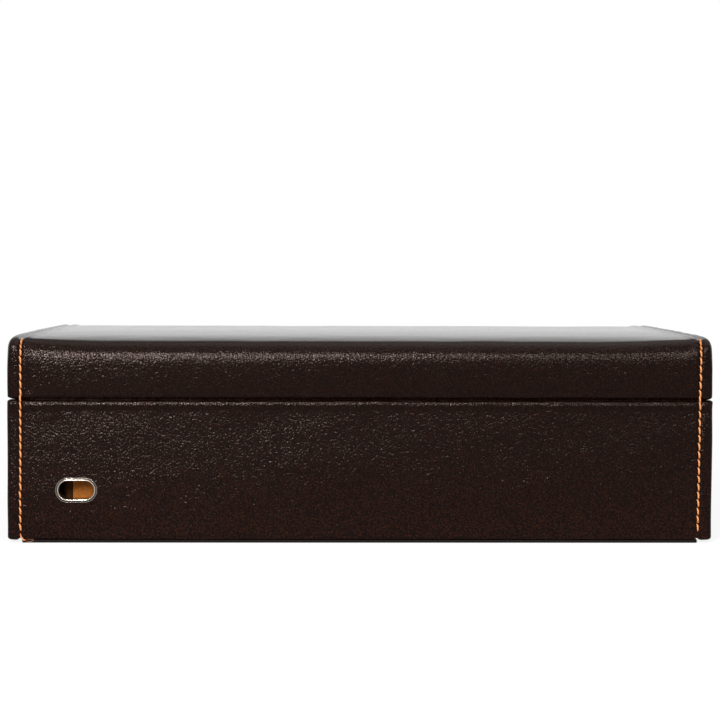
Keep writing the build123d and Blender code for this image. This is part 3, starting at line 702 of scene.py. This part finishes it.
def case_panels():
    """The case's leather: back, rail over the drawer, sill under it, and two sides."""
    back_rim = CASE_RIM - ROLL_GAP
    ys = stops(HALF_Y - 9.2, 1.0, HALF_Y - ROLL_DEPTH, 0.3, HALF_Y)
    zs = stops(CASE_LOW, 0.4, 4, 0.76, 16, 0.7, 34, 0.76, 64, 0.3, back_rim)
    q, quads = cut_cable_hole(*box_skin(BACK_XS, ys, zs, [(Y, 1), (Z, 1, ROLLED_EDGE), (Z, -1)]))
    cover_with_leather(
        "back_leather_panel", "case", "back_leather", q, quads,
        lambda q: case_form(q, back_rim, rim_radius=BACK_RIM_RADIUS), case_run, 0.09, 21, BACK_BEAD,
    )
    front_faces = [(Y, -1), (Z, 1), (Z, -1)]
    ys = stops(-HALF_Y, 0.35, 2 - HALF_Y, 1.0, -INNER_Y)
    zs = stops(OPENING_TOP, 0.4, OPENING_TOP + 2, 0.76, CASE_RIM - 2, 0.35, CASE_RIM)
    q, quads = box_skin(MIDDLE_XS, ys, zs, front_faces)
    cover_with_leather(
        "rail_leather_cover", "case", "rail_leather", q, quads,
        lambda q: case_form(q, CASE_RIM, OPENING_TOP), case_run, 0.07, 22,
    )
    sill_top = SILL_TOP + SILL_LIFT
    q, quads = box_skin(MIDDLE_XS, ys, stops(CASE_LOW, 0.4, sill_top), front_faces)
    cover_with_leather(
        "sill_leather_cover", "case", "sill_leather", q, quads,
        lambda q: case_form(q, sill_top), case_run, 0.05, 23,
    )
    zs = stops(CASE_LOW, 0.4, 4, 1.0, 64, 0.35, CASE_RIM)
    side_panels("case", SIDE_YS, zs, case_form, case_run, 0.09, 24, SIDE_BEAD)


def drawer_cover():
    """The drawer front's leather cover, turned over its four edges."""
    low, high = corners("drawer_front_leather")
    xs = edged_stops(low[0], high[0], 0.35, 2, 4.0)
    ys = stops(low[1], 0.35, low[1] + 2, 1.5, high[1])
    zs = edged_stops(low[2], high[2], 0.35, 2, 2.0)
    q, quads = box_skin(xs, ys, zs, [(Y, -1), (X, 1), (X, -1), (Z, 1), (Z, -1)])
    points = round_box(q, low, high, (RIM_RADIUS,) * 3, (RIM_RADIUS,) * 3)
    lift = 0.07 * ripple(points, 14, 60, 12, 31)
    points = points + normals_of(points, quads) * lift[:, None]
    points, quads = closed_shell(points, quads, SKIN)
    piece = make_piece("drawer_leather_cover", points, quads, LEATHER)
    place_on(piece, "drawer", "dark_leather", "drawer_front_leather")


def tube_quads(rings, sides=8):
    """Quads of a closed tube, and of the two caps, laid in strips between facing points."""
    index = np.arange(rings * sides).reshape(-1, sides)
    last = sides - 1
    caps = np.array([[i, last - i, last - 1 - i, i + 1] for i in range(sides // 2 - 1)])
    wall = grid_quads(np.pad(index, ((0, 0), (0, 1)), mode="wrap"))
    return np.vstack([wall, caps, caps[:, ::-1] + (rings - 1) * sides])


EIGHT_TURNS = np.arange(8) * math.pi / 4


def stitch_shape():
    """One stitch as a grid: rings of eight points along its length.

    Along it, the thread swings across the seam with a hook at its far end, and
    its height is 1 - |2t - 1|^5, so it dives into the leather at both ends.
    """
    t = np.array([0.0, 0.06, 0.2, 0.4, 0.6, 0.8, 0.94, 1.0])
    fat = np.sqrt(np.clip(1 - np.abs(2 * t - 1) ** 6, 0.0, 1.0)) * 0.92 + 0.08
    swing = STITCH_SLANT * (smooth_step((t - 0.1) / 1.6) * 0.5 + smooth_step((t - 0.72) / 0.3) * 0.5 - 0.3)
    dive = 0.6 * np.abs(2 * t - 1) ** 5
    along = np.repeat(t * STITCH_LENGTH, 8)
    across = (swing[:, None] + fat[:, None] * np.cos(EIGHT_TURNS) * THREAD_WIDTH / 2).ravel()
    out = (-dive[:, None] + fat[:, None] * np.sin(EIGHT_TURNS) * THREAD_HEIGHT / 2).ravel()
    uv = np.stack([np.tile(EIGHT_TURNS / (2 * math.pi), len(t)), along / STITCH_PITCH], axis=1)
    return along, across, out, tube_quads(len(t)), uv


def sew(starts, form, seed):
    """Stitches from each sharp-box point of starts towards the next, laid over the surface form.

    At each stitch the surface gives a frame: the way along the seam, the way
    across it (X), and their cross product.
    """
    along, across, out, quads, uv = stitch_shape()
    draw = np.random.default_rng(seed)
    near, far = form(starts[:-1]), form(starts[1:])
    near[:, 0] += seam_lean(near)
    far[:, 0] += seam_lean(far)
    way = far - near
    reach = np.linalg.norm(way, axis=1, keepdims=True)
    way /= reach
    side = np.array([1.0, 0.0, 0.0]) - way * way[:, :1]
    outward = np.cross(way, side)
    count = len(way)
    size = reach / STITCH_PITCH * draw.uniform(0.95, 1.02, (count, 1))
    jog = draw.normal(0, 0.045, (count, 1))
    lift = draw.normal(-0.12, 0.04, (count, 1)) - top_sink(starts[:-1])[:, None]
    tilt = draw.normal(0, 0.02, (count, 1))
    a = along[None, :] * size
    b = across[None, :] + jog + (a - STITCH_PITCH / 2) * tilt
    c = out[None, :] + lift
    points = near[:, None] + way[:, None] * a[..., None]
    points = points + side[:, None] * b[..., None] + outward[:, None] * c[..., None]
    offsets = np.arange(count)[:, None, None] * len(along)
    return points.reshape(-1, 3), (quads[None] + offsets).reshape(-1, 4), np.tile(uv, (count, 1))


def thread_piece(name, parts):
    """One piece of thread from several (points, quads, uv)."""
    points, quads, uvs = zip(*parts)
    firsts = np.cumsum([0] + [len(p) for p in points])
    quads = [q + first for q, first in zip(quads, firsts)]
    return make_piece(name, np.vstack(points), np.vstack(quads), THREAD, np.vstack(uvs))


def seam_points(sign, y, z):
    """Sharp-box points on the right or left seam."""
    return np.stack(np.broadcast_arrays(sign * SEAM_X, y, z), axis=1)


def lid_seam_points(runs, sign):
    """Points on a lid seam at distances along it: up the back, over the top and down the front."""
    height, depth = LID_TOP - LID_RIM, 2 * HALF_Y
    z = np.minimum(LID_RIM + runs, LID_TOP) - np.maximum(runs - height - depth, 0)
    return seam_points(sign, HALF_Y - np.clip(runs - height, 0, depth), z)


def sew_seams():
    """The visible stitching: over the lid, down the case's back, and on the rail and the sill."""
    whole_run = 2 * (LID_TOP - LID_RIM) + 2 * HALF_Y
    runs = np.arange(FIRST_HOLE, whole_run - 0.6, STITCH_PITCH)
    parts = [sew(lid_seam_points(runs, sign), lid_form, 40 + sign) for sign in (1, -1)]
    place_on(thread_piece("lid_stitching", parts), "lid", "dark_leather")
    down = CASE_RIM - np.arange(FIRST_HOLE, CASE_RIM - CASE_LOW - 0.4, STITCH_PITCH)
    rail, sill = down[down > OPENING_TOP + 0.5], down[down < SILL_TOP - 0.5]
    parts = []
    for sign in (1, -1):
        for z, y in ((down[::-1], HALF_Y), (rail, -HALF_Y), (sill, -HALF_Y)):
            parts.append(sew(seam_points(sign, y, z), case_form, 50 + sign + int(y > 0)))
    place_on(thread_piece("case_stitching", parts), "case", "dark_leather")


def smooth_line(knots, count):
    """A Catmull-Rom curve through knots, evenly divided."""
    knots = np.asarray(knots, float)
    padded = np.vstack([2 * knots[0] - knots[1], knots, 2 * knots[-1] - knots[-2]])
    places = np.linspace(0, len(knots) - 1, count)
    i = np.minimum(places.astype(int), len(knots) - 2)
    t = (places - i)[:, None]
    a, b, c, d = padded[i], padded[i + 1], padded[i + 2], padded[i + 3]
    return 0.5 * (2 * b + (c - a) * t + (2 * a - 5 * b + 4 * c - d) * t**2 + (3 * b - a - 3 * c + d) * t**3)


def thread_along(line, width):
    """A thread of eight-sided section along a smooth line of points, thinner at its two ends.

    Its rings lie across the line, turned by the line's own direction and the box's depth.
    """
    way = np.gradient(line, axis=0)
    way /= np.linalg.norm(way, axis=1, keepdims=True)
    side = np.cross(way, (0.0, 1.0, 0.0))
    side /= np.maximum(np.linalg.norm(side, axis=1, keepdims=True), 1e-9)
    out = np.cross(side, way)
    t = np.linspace(0, 1, len(line))
    fat = (width / 2) * (0.25 + 0.75 * np.sqrt(np.clip(1 - np.abs(2 * t - 1) ** 6, 0, 1)))
    cos, sin = np.cos(EIGHT_TURNS)[None, :, None], np.sin(EIGHT_TURNS)[None, :, None]
    rings = line[:, None] + fat[:, None, None] * (side[:, None] * cos + out[:, None] * sin)
    uv = np.stack([np.tile(EIGHT_TURNS / (2 * math.pi), len(line)), np.repeat(t, 8)], axis=1)
    return rings.reshape(-1, 3), tube_quads(len(line)), uv


def hinge_stitches():
    """The stitch of each seam that crosses the hinge."""
    low, high = HINGE_Z - 1.5, HINGE_Z + 1.9
    for sign, side in ((1, "right"), (-1, "left")):
        x = sign * SEAM_X
        knots = [
            (x - 0.1, HALF_Y - 1.0, low), (x - 0.05, HALF_Y - 0.25, low + 0.7),
            (x + 0.1, HALF_Y - 0.2, high - 1.0), (x + 0.15, HALF_Y - 0.9, high),
        ]
        line = smooth_line(knots, 15)
        line[:, 0] += seam_lean(line)
        points, quads, uv = thread_along(line, THREAD_WIDTH)
        piece = make_piece(f"hinge_stitch_{side}", points, quads, THREAD, uv)
        bend_with_lid(piece)


def loose_thread():
    """The seam's last stitch, drawn in under the foot, and the loop of thread left at its end."""
    x, y = SEAM_X, HALF_Y
    last = [
        (x + 0.2, y - 0.2, 4.4), (x, y + 0.25, 3.2), (x - 1.0, y + 0.1, 1.6), (x - 2.0, y - 0.9, 1.0),
    ]
    loop = [
        (x - 1.9, y - 0.9, 1.0), (x - 2.8, y + 0.2, 1.5), (x - 4.6, y + 0.3, 1.75), (x - 6.0, y + 0.2, 1.4),
        (x - 5.2, y + 0.1, 0.75), (x - 3.4, y + 0.1, 0.55), (x - 2.2, y - 0.6, 0.8),
    ]
    points, quads, uv = thread_along(smooth_line(loop, 33), 0.15)
    # The loop's UV length is cut to a fifth, so the thread's painted shade darkens the whole loop under the
    # foot.
    parts = [thread_along(smooth_line(last, 17), THREAD_WIDTH * 0.8), (points, quads, uv * (1.0, 0.2))]
    place_on(thread_piece("seam_end_thread", parts), "case", "dark_leather")


def strip_along_x(profile, xs, thickness, uneven, seed):
    """A thin strip: a profile of (y, z) carried along X, roughened and thickened away from its face."""
    u, v = np.meshgrid(xs, np.arange(len(profile)), indexing="ij")
    points = np.stack([u, profile[v, 0], profile[v, 1]], axis=-1).reshape(-1, 3)
    quads = grid_quads(np.arange(u.size).reshape(u.shape))
    points = points + normals_of(points, quads) * (uneven * ripple(points, 6, 30, 12, seed))[:, None]
    return closed_shell(points, quads, thickness)


def pleat(y, depth, low, throat, high, count):
    """A smooth profile of (y, z) from low to high, drawn in by depth at the hinge line."""
    knots = [(y, low), (y, HINGE_Z - throat), (y - depth, HINGE_Z), (y, HINGE_Z + throat), (y, high)]
    return smooth_line(knots, count)


def hinge_strip():
    """The leather that folds in between the two rolled edges."""
    profile = pleat(HALF_Y - FOLD_INSET, FOLD_DEPTH, HINGE_Z - 2.4, 1.2, HINGE_Z + 2.4, 25)[::-1]
    points, quads = strip_along_x(profile, stops(-MIDDLE, 2.0, MIDDLE), 0.6, 0.03, 61)
    piece = make_piece("hinge_fold", points, quads, LEATHER)
    bend_with_lid(piece)
    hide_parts("hinge_leather")


def gusset():
    """The suede inside the hinge: a shallow pleat."""
    low, high = corners("hinge_gusset")
    profile = pleat(high[1] - 0.05, LINING_DEPTH, low[2], 1.8, high[2], 33)
    points, quads = strip_along_x(profile, stops(low[0], 3.0, high[0]), 0.5, 0.06, 62)
    piece = make_piece("hinge_lining", points, quads, SUEDE)
    bend_with_lid(piece)
    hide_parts("hinge_gusset")


def grommet():
    """The cable hole's metal liner: a profile carried round an obround.

    The profile is (distance outside the hole, height off the leather): a sleeve
    through the wall, an inner bead, a narrow channel and an outer bead.
    """
    depth = GROMMET_LOW[1] - HALF_Y
    profile = np.array([
        (0.0, depth), (0.0, -0.3), (0.03, 0.3), (0.14, 0.55), (0.34, 0.68), (0.56, 0.64), (0.70, 0.42),
        (0.76, 0.2), (1.14, 0.2), (1.2, 0.38), (1.29, 0.46), (1.4, 0.42), (1.48, 0.28), (1.5, 0.02),
        (1.5, -0.25), (0.6, -0.3), (0.6, depth),
    ])
    in_channel = np.isin(np.arange(len(profile)), (6, 7, 8)).astype(np.int32)
    turn = np.linspace(0, 2 * math.pi, 96, endpoint=False)
    away = np.stack([np.cos(turn), np.sin(turn)], axis=1)
    centre_x = HOLE_X + HALF_LINE * np.sign(np.round(away[:, 0], 9))
    u, v = np.meshgrid(np.arange(len(turn)), np.arange(len(profile)), indexing="ij")
    reach = HOLE_WIDTH / 2 + profile[v, 0]
    points = np.stack(
        [centre_x[u] + away[u, 0] * reach, HALF_Y + profile[v, 1], HOLE_Z + away[u, 1] * reach], axis=-1
    )
    quads = grid_quads(np.pad(np.arange(u.size).reshape(u.shape), (0, 1), mode="wrap"))
    piece = make_piece("cable_grommet_liner", points.reshape(-1, 3), quads, NICKEL, sharp=60)
    # The channel's metal is painted near black as a dark reflection.
    piece.data.materials.append(CHANNEL_PAINTED_DARK)
    piece.data.polygons.foreach_set("material_index", np.tile(in_channel, len(turn)))
    place_on(piece, "case", "polished_nickel", "cable_grommet")


def finished(piece):
    """A piece's points and quads with its modifiers worked in; the piece itself is thrown away."""
    mesh = bpy.data.meshes.new_from_object(piece.evaluated_get(bpy.context.evaluated_depsgraph_get()))
    points = np.empty(len(mesh.vertices) * 3)
    mesh.vertices.foreach_get("co", points)
    quads = np.empty(len(mesh.loops), np.int32)
    mesh.loops.foreach_get("vertex_index", quads)
    bpy.data.meshes.remove(mesh)
    bpy.data.objects.remove(piece)
    return points.reshape(-1, 3) / MM, quads.reshape(-1, 4)


def stuff(points, quads, voxel, most, pressure=4.0, frames=20):
    """Fills a closed form like a cushion: an even mesh of small voxels, blown up as cloth under pressure.

    No point moves further than about most millimetres: a move m becomes most tanh(|m| / most).
    """
    piece = make_piece("stuffing", points, quads, CUSHION_SUEDE)
    even = piece.modifiers.new("even", "REMESH")
    even.mode = "VOXEL"
    even.voxel_size = voxel * MM
    points, quads = finished(piece)
    piece = make_piece("stuffing", points, quads, CUSHION_SUEDE)
    cloth = piece.modifiers.new("cloth", "CLOTH")
    cloth.settings.use_pressure = True
    cloth.settings.uniform_pressure_force = pressure
    cloth.settings.effector_weights.gravity = 0.0
    cloth.point_cache.frame_start, cloth.point_cache.frame_end = 1, frames
    for number in range(1, frames + 1):
        bpy.context.scene.frame_set(number)
    blown, _ = finished(piece)
    bpy.context.scene.frame_set(1)
    move = blown - points
    length = np.maximum(np.linalg.norm(move, axis=1, keepdims=True), 1e-9)
    return points + move * most * np.tanh(length / most) / length, quads


def subdivided(points, quads):
    """Points and quads after one Catmull-Clark subdivision."""
    piece = make_piece("smoothed", points, quads, CUSHION_SUEDE)
    finer = piece.modifiers.new("finer", "SUBSURF")
    finer.levels = finer.render_levels = 1
    return finished(piece)


def cushion_form(size):
    """One watch cushion about the origin: stuffed, fitted to its size, with a sewn seam round each end.

    The seam is a valley at a steady distance from each end, puckered along its run.
    """
    half = size / 2
    start = half * CUSHION_START
    xs, ys, zs = (stops(-start[i], 3.0, start[i]) for i in (X, Y, Z))
    q, quads = box_skin(xs, ys, zs, WHOLE_BOX)
    form = round_box(q, -start, start, CUSHION_SOFTNESS, CUSHION_SOFTNESS)
    points, quads = stuff(form, quads, voxel=4.0, most=3.0)
    points, quads = subdivided(points, quads)
    points -= (points.max(axis=0) + points.min(axis=0)) / 2
    points *= half / points.max(axis=0)
    points[:, 2] = np.maximum(points[:, 2], -half[2] + 0.02 * np.abs(points[:, 2]))
    points, quads = subdivided(points, quads)
    turn = np.arctan2(points[:, 2], points[:, 1] * 0.5)
    across = np.abs(points[:, 0]) - (half[0] - CUSHION_SEAM_INSET)
    relief = -CUSHION_SEAM_DEPTH * hump(across, 0.9) + 0.16 * hump(np.abs(across) - 2.2, 1.2)
    relief += 0.12 * np.sin(CUSHION_PUCKERS * turn) * hump(across, 2.6)
    return points + normals_of(points, quads) * relief[:, None], quads


def watch_cushions():
    """Twelve cushions from one stuffed form, each a little different in its dents and lie.

    A cushion is turned by a small random angle, and every other one end for end.
    """
    names = [f"watch_cushion_{number:02d}" for number in range(1, 13)]
    low, high = corners(names[0])
    form, quads = cushion_form(high - low)
    for number, name in enumerate(names):
        low, high = corners(name)
        draw = np.random.default_rng(200 + number)
        points = form * draw.uniform(0.985, 1.0, 3) * np.where(number % 2, (-1, -1, 1), 1)
        lie = math.radians(draw.uniform(-0.7, 0.7))
        laid = points.copy()
        laid[:, 0] = points[:, 0] * math.cos(lie) - points[:, 1] * math.sin(lie)
        laid[:, 1] = points[:, 0] * math.sin(lie) + points[:, 1] * math.cos(lie)
        dents = 0.35 * ripple(points, 18, 45, 12, 300 + number)
        dents += 0.06 * ripple(points, 5, 9, 12, 400 + number)
        laid += normals_of(laid, quads) * dents[:, None]
        laid += (low + high) / 2
        laid = np.clip(laid, low - (0.6, 0.6, 0.0), high + (0.6, 0.6, 0.4))
        piece = make_piece(f"cushion_{number + 1:02d}", laid, quads, CUSHION_SUEDE, sharp=80)
        place_on(piece, "case", "cushion_suede", name)


def lid_board():
    """The board under the lid's padding, its upper edges rounded over so that the leather lies soft."""
    low, high = corners("lid_top_board")
    low, high = low + (0.8, 0.8, 0.0), high - (0.8, 0.8, 0.0)
    xs, ys = (edged_stops(low[i], high[i], 0.8, 6, 6.0) for i in (X, Y))
    q, quads = box_skin(xs, ys, stops(low[2], 0.8, high[2]), WHOLE_BOX)
    points = round_box(q, low, high, (3.0, 6.5, 0.05), (3.0, 6.5, 3.9))
    place_on(make_piece("lid_board", points, quads, BOARD), "lid", "board", "lid_top_board")


def lid_foam():
    """The foam under the lid's leather: a slab that keeps just inside the leather's crown."""
    inset = 2.8
    low, high = corners("lid_padding")
    xs, ys = (stops(low[i] + inset, 4.0, high[i] - inset) for i in (X, Y))
    q, quads = box_skin(xs, ys, [low[2], high[2]], WHOLE_BOX)
    points = q.copy()
    edge = np.minimum(high[0] - np.abs(q[:, 0]), high[1] - np.abs(q[:, 1]))
    roof = LID_TOP - LID_CROWN * (q[:, 1] / HALF_Y) ** 2 - edge_fall(q) - 1.6 - 3.2 * hump(edge, 4.5)
    roof -= 1.6 * hump(np.abs(q[:, 0]) - SEAM_X, 5.0)
    points[:, 2] = np.where(q[:, 2] > low[2] + 0.01, np.maximum(roof, low[2] + 0.3), low[2])
    piece = make_piece("lid_foam", points, quads, FOAM, sharp=80)
    place_on(piece, "lid", "foam", "lid_padding")


def lid_pad():
    """The padded suede panel inside the lid: soft edges, and a face that swells down in the middle.

    The swell is a (1 - (x/X)^4)(1 - (y/Y)^4) form.
    """
    low, high = corners("lid_inner_pad")
    xs, ys = (edged_stops(low[i], high[i], 0.5, 3, 3.0) for i in (X, Y))
    q, quads = box_skin(xs, ys, stops(low[2], 0.5, high[2]), WHOLE_BOX)
    points = round_box(q, low, high, (2.2, 2.2, 2.0), (2.2, 2.2, 0.2))
    middle, half = (low + high) / 2, (high - low) / 2
    u, v = ((points - middle) / half).T[:2]
    swell = np.clip(1 - u**4, 0, 1) * np.clip(1 - v**4, 0, 1) * (q[:, 2] < high[2] - 0.01)
    points[:, 2] -= swell * (1.3 + 0.12 * ripple(points, 15, 60, 14, 71))
    piece = make_piece("lid_pad", points, quads, SUEDE, sharp=80)
    place_on(piece, "lid", "tan_suede", "lid_inner_pad")


def ring_rolls():
    """Soft rolls for rings, in a row on a flat back.

    Across the rolls the height is sqrt(r^2 - d^2) above the back, d being the distance
    from a roll's middle, and it falls to the back at both ends in a quarter circle.
    """
    low, high = corners("ring_pad")
    radius = high[2] - low[2] - RING_PAD_BACK
    pitch = (high[1] - low[1]) / RING_ROLLS
    end_width = 3.0
    across = pitch / 2 * np.sin(np.linspace(-1, 1, 15)[:-1] * math.pi / 2)
    middles = low[1] + pitch * (np.arange(RING_ROLLS) + 0.5)
    ys = np.sort(np.append((middles[:, None] + across).ravel(), high[1]))
    xs = edged_stops(low[0], high[0], 0.4, end_width, 2.0)
    zs = stops(low[2], 0.75, low[2] + RING_PAD_BACK)
    q, quads = box_skin(xs, ys, zs, WHOLE_BOX)
    points = q.copy()
    from_middle = np.mod(q[:, 1] - low[1], pitch) - pitch / 2
    from_end = np.maximum(low[0] + end_width - q[:, 0], q[:, 0] - high[0] + end_width)
    end = np.clip(from_end / end_width, 0, 1)
    rise = np.sqrt(np.clip(radius**2 - from_middle**2, 0, None)) * np.sqrt(1 - 0.9 * end**2)
    on_top = q[:, 2] > zs[-1] - 0.01
    points[:, 2] += np.where(on_top, rise * (1 + 0.04 * ripple(q, 8, 30, 12, 81)), 0.0)
    points[:, 2] = np.minimum(points[:, 2], high[2] + 0.3)
    piece = make_piece("ring_rolls", points, quads, SUEDE, sharp=80)
    place_on(piece, "drawer", "tan_suede", "ring_pad")


def notch_binding():
    """Suede rolled over the upright edge of the drawer's cable notch.

    Its outline bows towards the notch by 1 - (t + 0.2)^2, t running from -1 at its foot to 1 at its
    top, and the roll thins out at both by 0.8 t^8.
    """
    sides, radius, board = 20, 2.3, 4.0
    low, high = corners("drawer_back")
    heights = stops(low[2] + NOTCH_FLOOR, 0.8, high[2] - 0.2)
    t = 2 * (heights - heights[0]) / (heights[-1] - heights[0]) - 1
    bow = 1 - (t + 0.2) ** 2
    turn = np.linspace(0, 2 * math.pi, sides, endpoint=False)
    u, v = np.meshgrid(np.arange(len(heights)), np.arange(sides), indexing="ij")
    fat = radius * (1 - 0.8 * t[u] ** 8)
    x = high[0] - NOTCH_WIDTH + 1.3 + bow[u] + fat * np.cos(turn)[v]
    y = high[1] - board / 2 + fat * np.sin(turn)[v]
    points = np.stack([x, y, heights[u]], axis=-1).reshape(-1, 3)
    # The binding's suede is painted dark as the shade inside the notch.
    piece = make_piece("notch_binding", points, tube_quads(len(heights), sides), PAINTED_SHADE_SUEDE)
    place_on(piece, "drawer", "tan_suede")


def seen_directly(tree):
    """1 for a ray from the camera, a mirror or glass, and 0 for light that a surface scatters."""
    rays = tree.nodes.new("ShaderNodeLightPath").outputs
    seen = maths(tree, "MAXIMUM", rays["Is Camera Ray"], rays["Is Glossy Ray"])
    return maths(tree, "MAXIMUM", seen, rays["Is Transmission Ray"])


def studio():
    """A pale floor, a white surround, two tall lamps behind the camera and a soft one above."""
    world = bpy.data.worlds.new("studio")
    bpy.context.scene.world = world
    world.use_nodes = True
    tree = world.node_tree
    back = tree.nodes["Background"]
    back.inputs["Color"].default_value = (1, 1, 1, 1)
    feed(tree, back.inputs["Strength"], span(tree, seen_directly(tree), 0.0, 1.0, SURROUND_LIGHT, 1.0))

    floor = bpy.data.materials.new("pale_floor")
    floor.use_nodes = True
    tree = floor.node_tree
    place = tree.nodes.new("ShaderNodeTexCoord").outputs["Object"]
    away = node(tree, "VectorMath", place, operation="LENGTH", output=1)
    far = span(tree, away, 0.25, 0.7, 0.85, 1.0)
    paper = tree.nodes["Principled BSDF"]
    set_sockets(paper, Base_Color=(0.9, 0.9, 0.9, 1), Roughness=0.9)
    glow = node(tree, "Emission", Color=(1, 1, 1, 1), Strength=1.0)
    mixed = node(tree, "MixShader", times(tree, seen_directly(tree), far), paper.outputs[0], glow)
    tree.links.new(mixed, tree.nodes["Material Output"].inputs["Surface"])
    reach, drop = 6000.0, -0.05
    square = [(-reach, -reach, drop), (reach, -reach, drop), (reach, reach, drop), (-reach, reach, drop)]
    make_piece("floor", np.array(square), np.array([[0, 1, 2, 3]]), floor)

    add_softbox("key_light", (400, 1560, 700), (80, 60, 50), (0.10, 0.62), 39.0)
    add_softbox("side_light", (-330, 1560, 720), (-60, 60, 50), (0.10, 0.42), 10.0)
    add_softbox("top_light", (-150, 250, 1500), (0, 0, 40), (1.2, 1.2), 9.0)


def put_in_scene(name, data, side, up, back, place):
    """An object whose own axes are side, up and back, at a place in millimetres."""
    thing = bpy.data.objects.new(name, data)
    bpy.context.collection.objects.link(thing)
    axes = np.eye(4)
    axes[:3, 0], axes[:3, 1], axes[:3, 2] = side, up, back
    axes[:3, 3] = np.array(place) * MM
    thing.matrix_world = Matrix(axes.tolist())
    return thing


def add_softbox(name, place, target, size, power):
    """A rectangular area light at a place, facing a target, both in millimetres."""
    data = bpy.data.lights.new(name, "AREA")
    data.shape = "RECTANGLE"
    data.size, data.size_y = size
    data.energy = power
    back = np.subtract(place, target) / np.linalg.norm(np.subtract(place, target))
    side = np.cross((0, 0, 1), back)
    side /= np.linalg.norm(side)
    put_in_scene(name, data, side, np.cross(back, side), back, place)


def place_camera():
    """The photograph's view: turned by yaw about Z, tipped down by pitch, then rolled."""
    yaw, pitch, roll = (math.radians(a) for a in CAMERA_TURNS)
    forward = np.array([math.sin(yaw), -math.cos(yaw) * math.cos(pitch), -math.sin(pitch)])
    forward /= np.linalg.norm(forward)
    level = np.cross(forward, (0, 0, 1))
    level /= np.linalg.norm(level)
    upright = np.cross(level, forward)
    side = level * math.cos(roll) + upright * math.sin(roll)
    up = upright * math.cos(roll) - level * math.sin(roll)
    data = bpy.data.cameras.new("camera")
    data.sensor_width = SENSOR_WIDTH
    data.lens = FOCAL_PIXELS / PHOTO_PIXELS * SENSOR_WIDTH
    bpy.context.scene.camera = put_in_scene("camera", data, side, up, -forward, CAMERA_PLACE)


place_camera()
studio()
bpy.context.scene.view_settings.view_transform = "Standard"
finish_cad_nodes()
lid_panels()
case_panels()
drawer_cover()
hinge_strip()
gusset()
sew_seams()
hinge_stitches()
loose_thread()
grommet()
watch_cushions()
lid_board()
lid_foam()
lid_pad()
ring_rolls()
notch_binding()
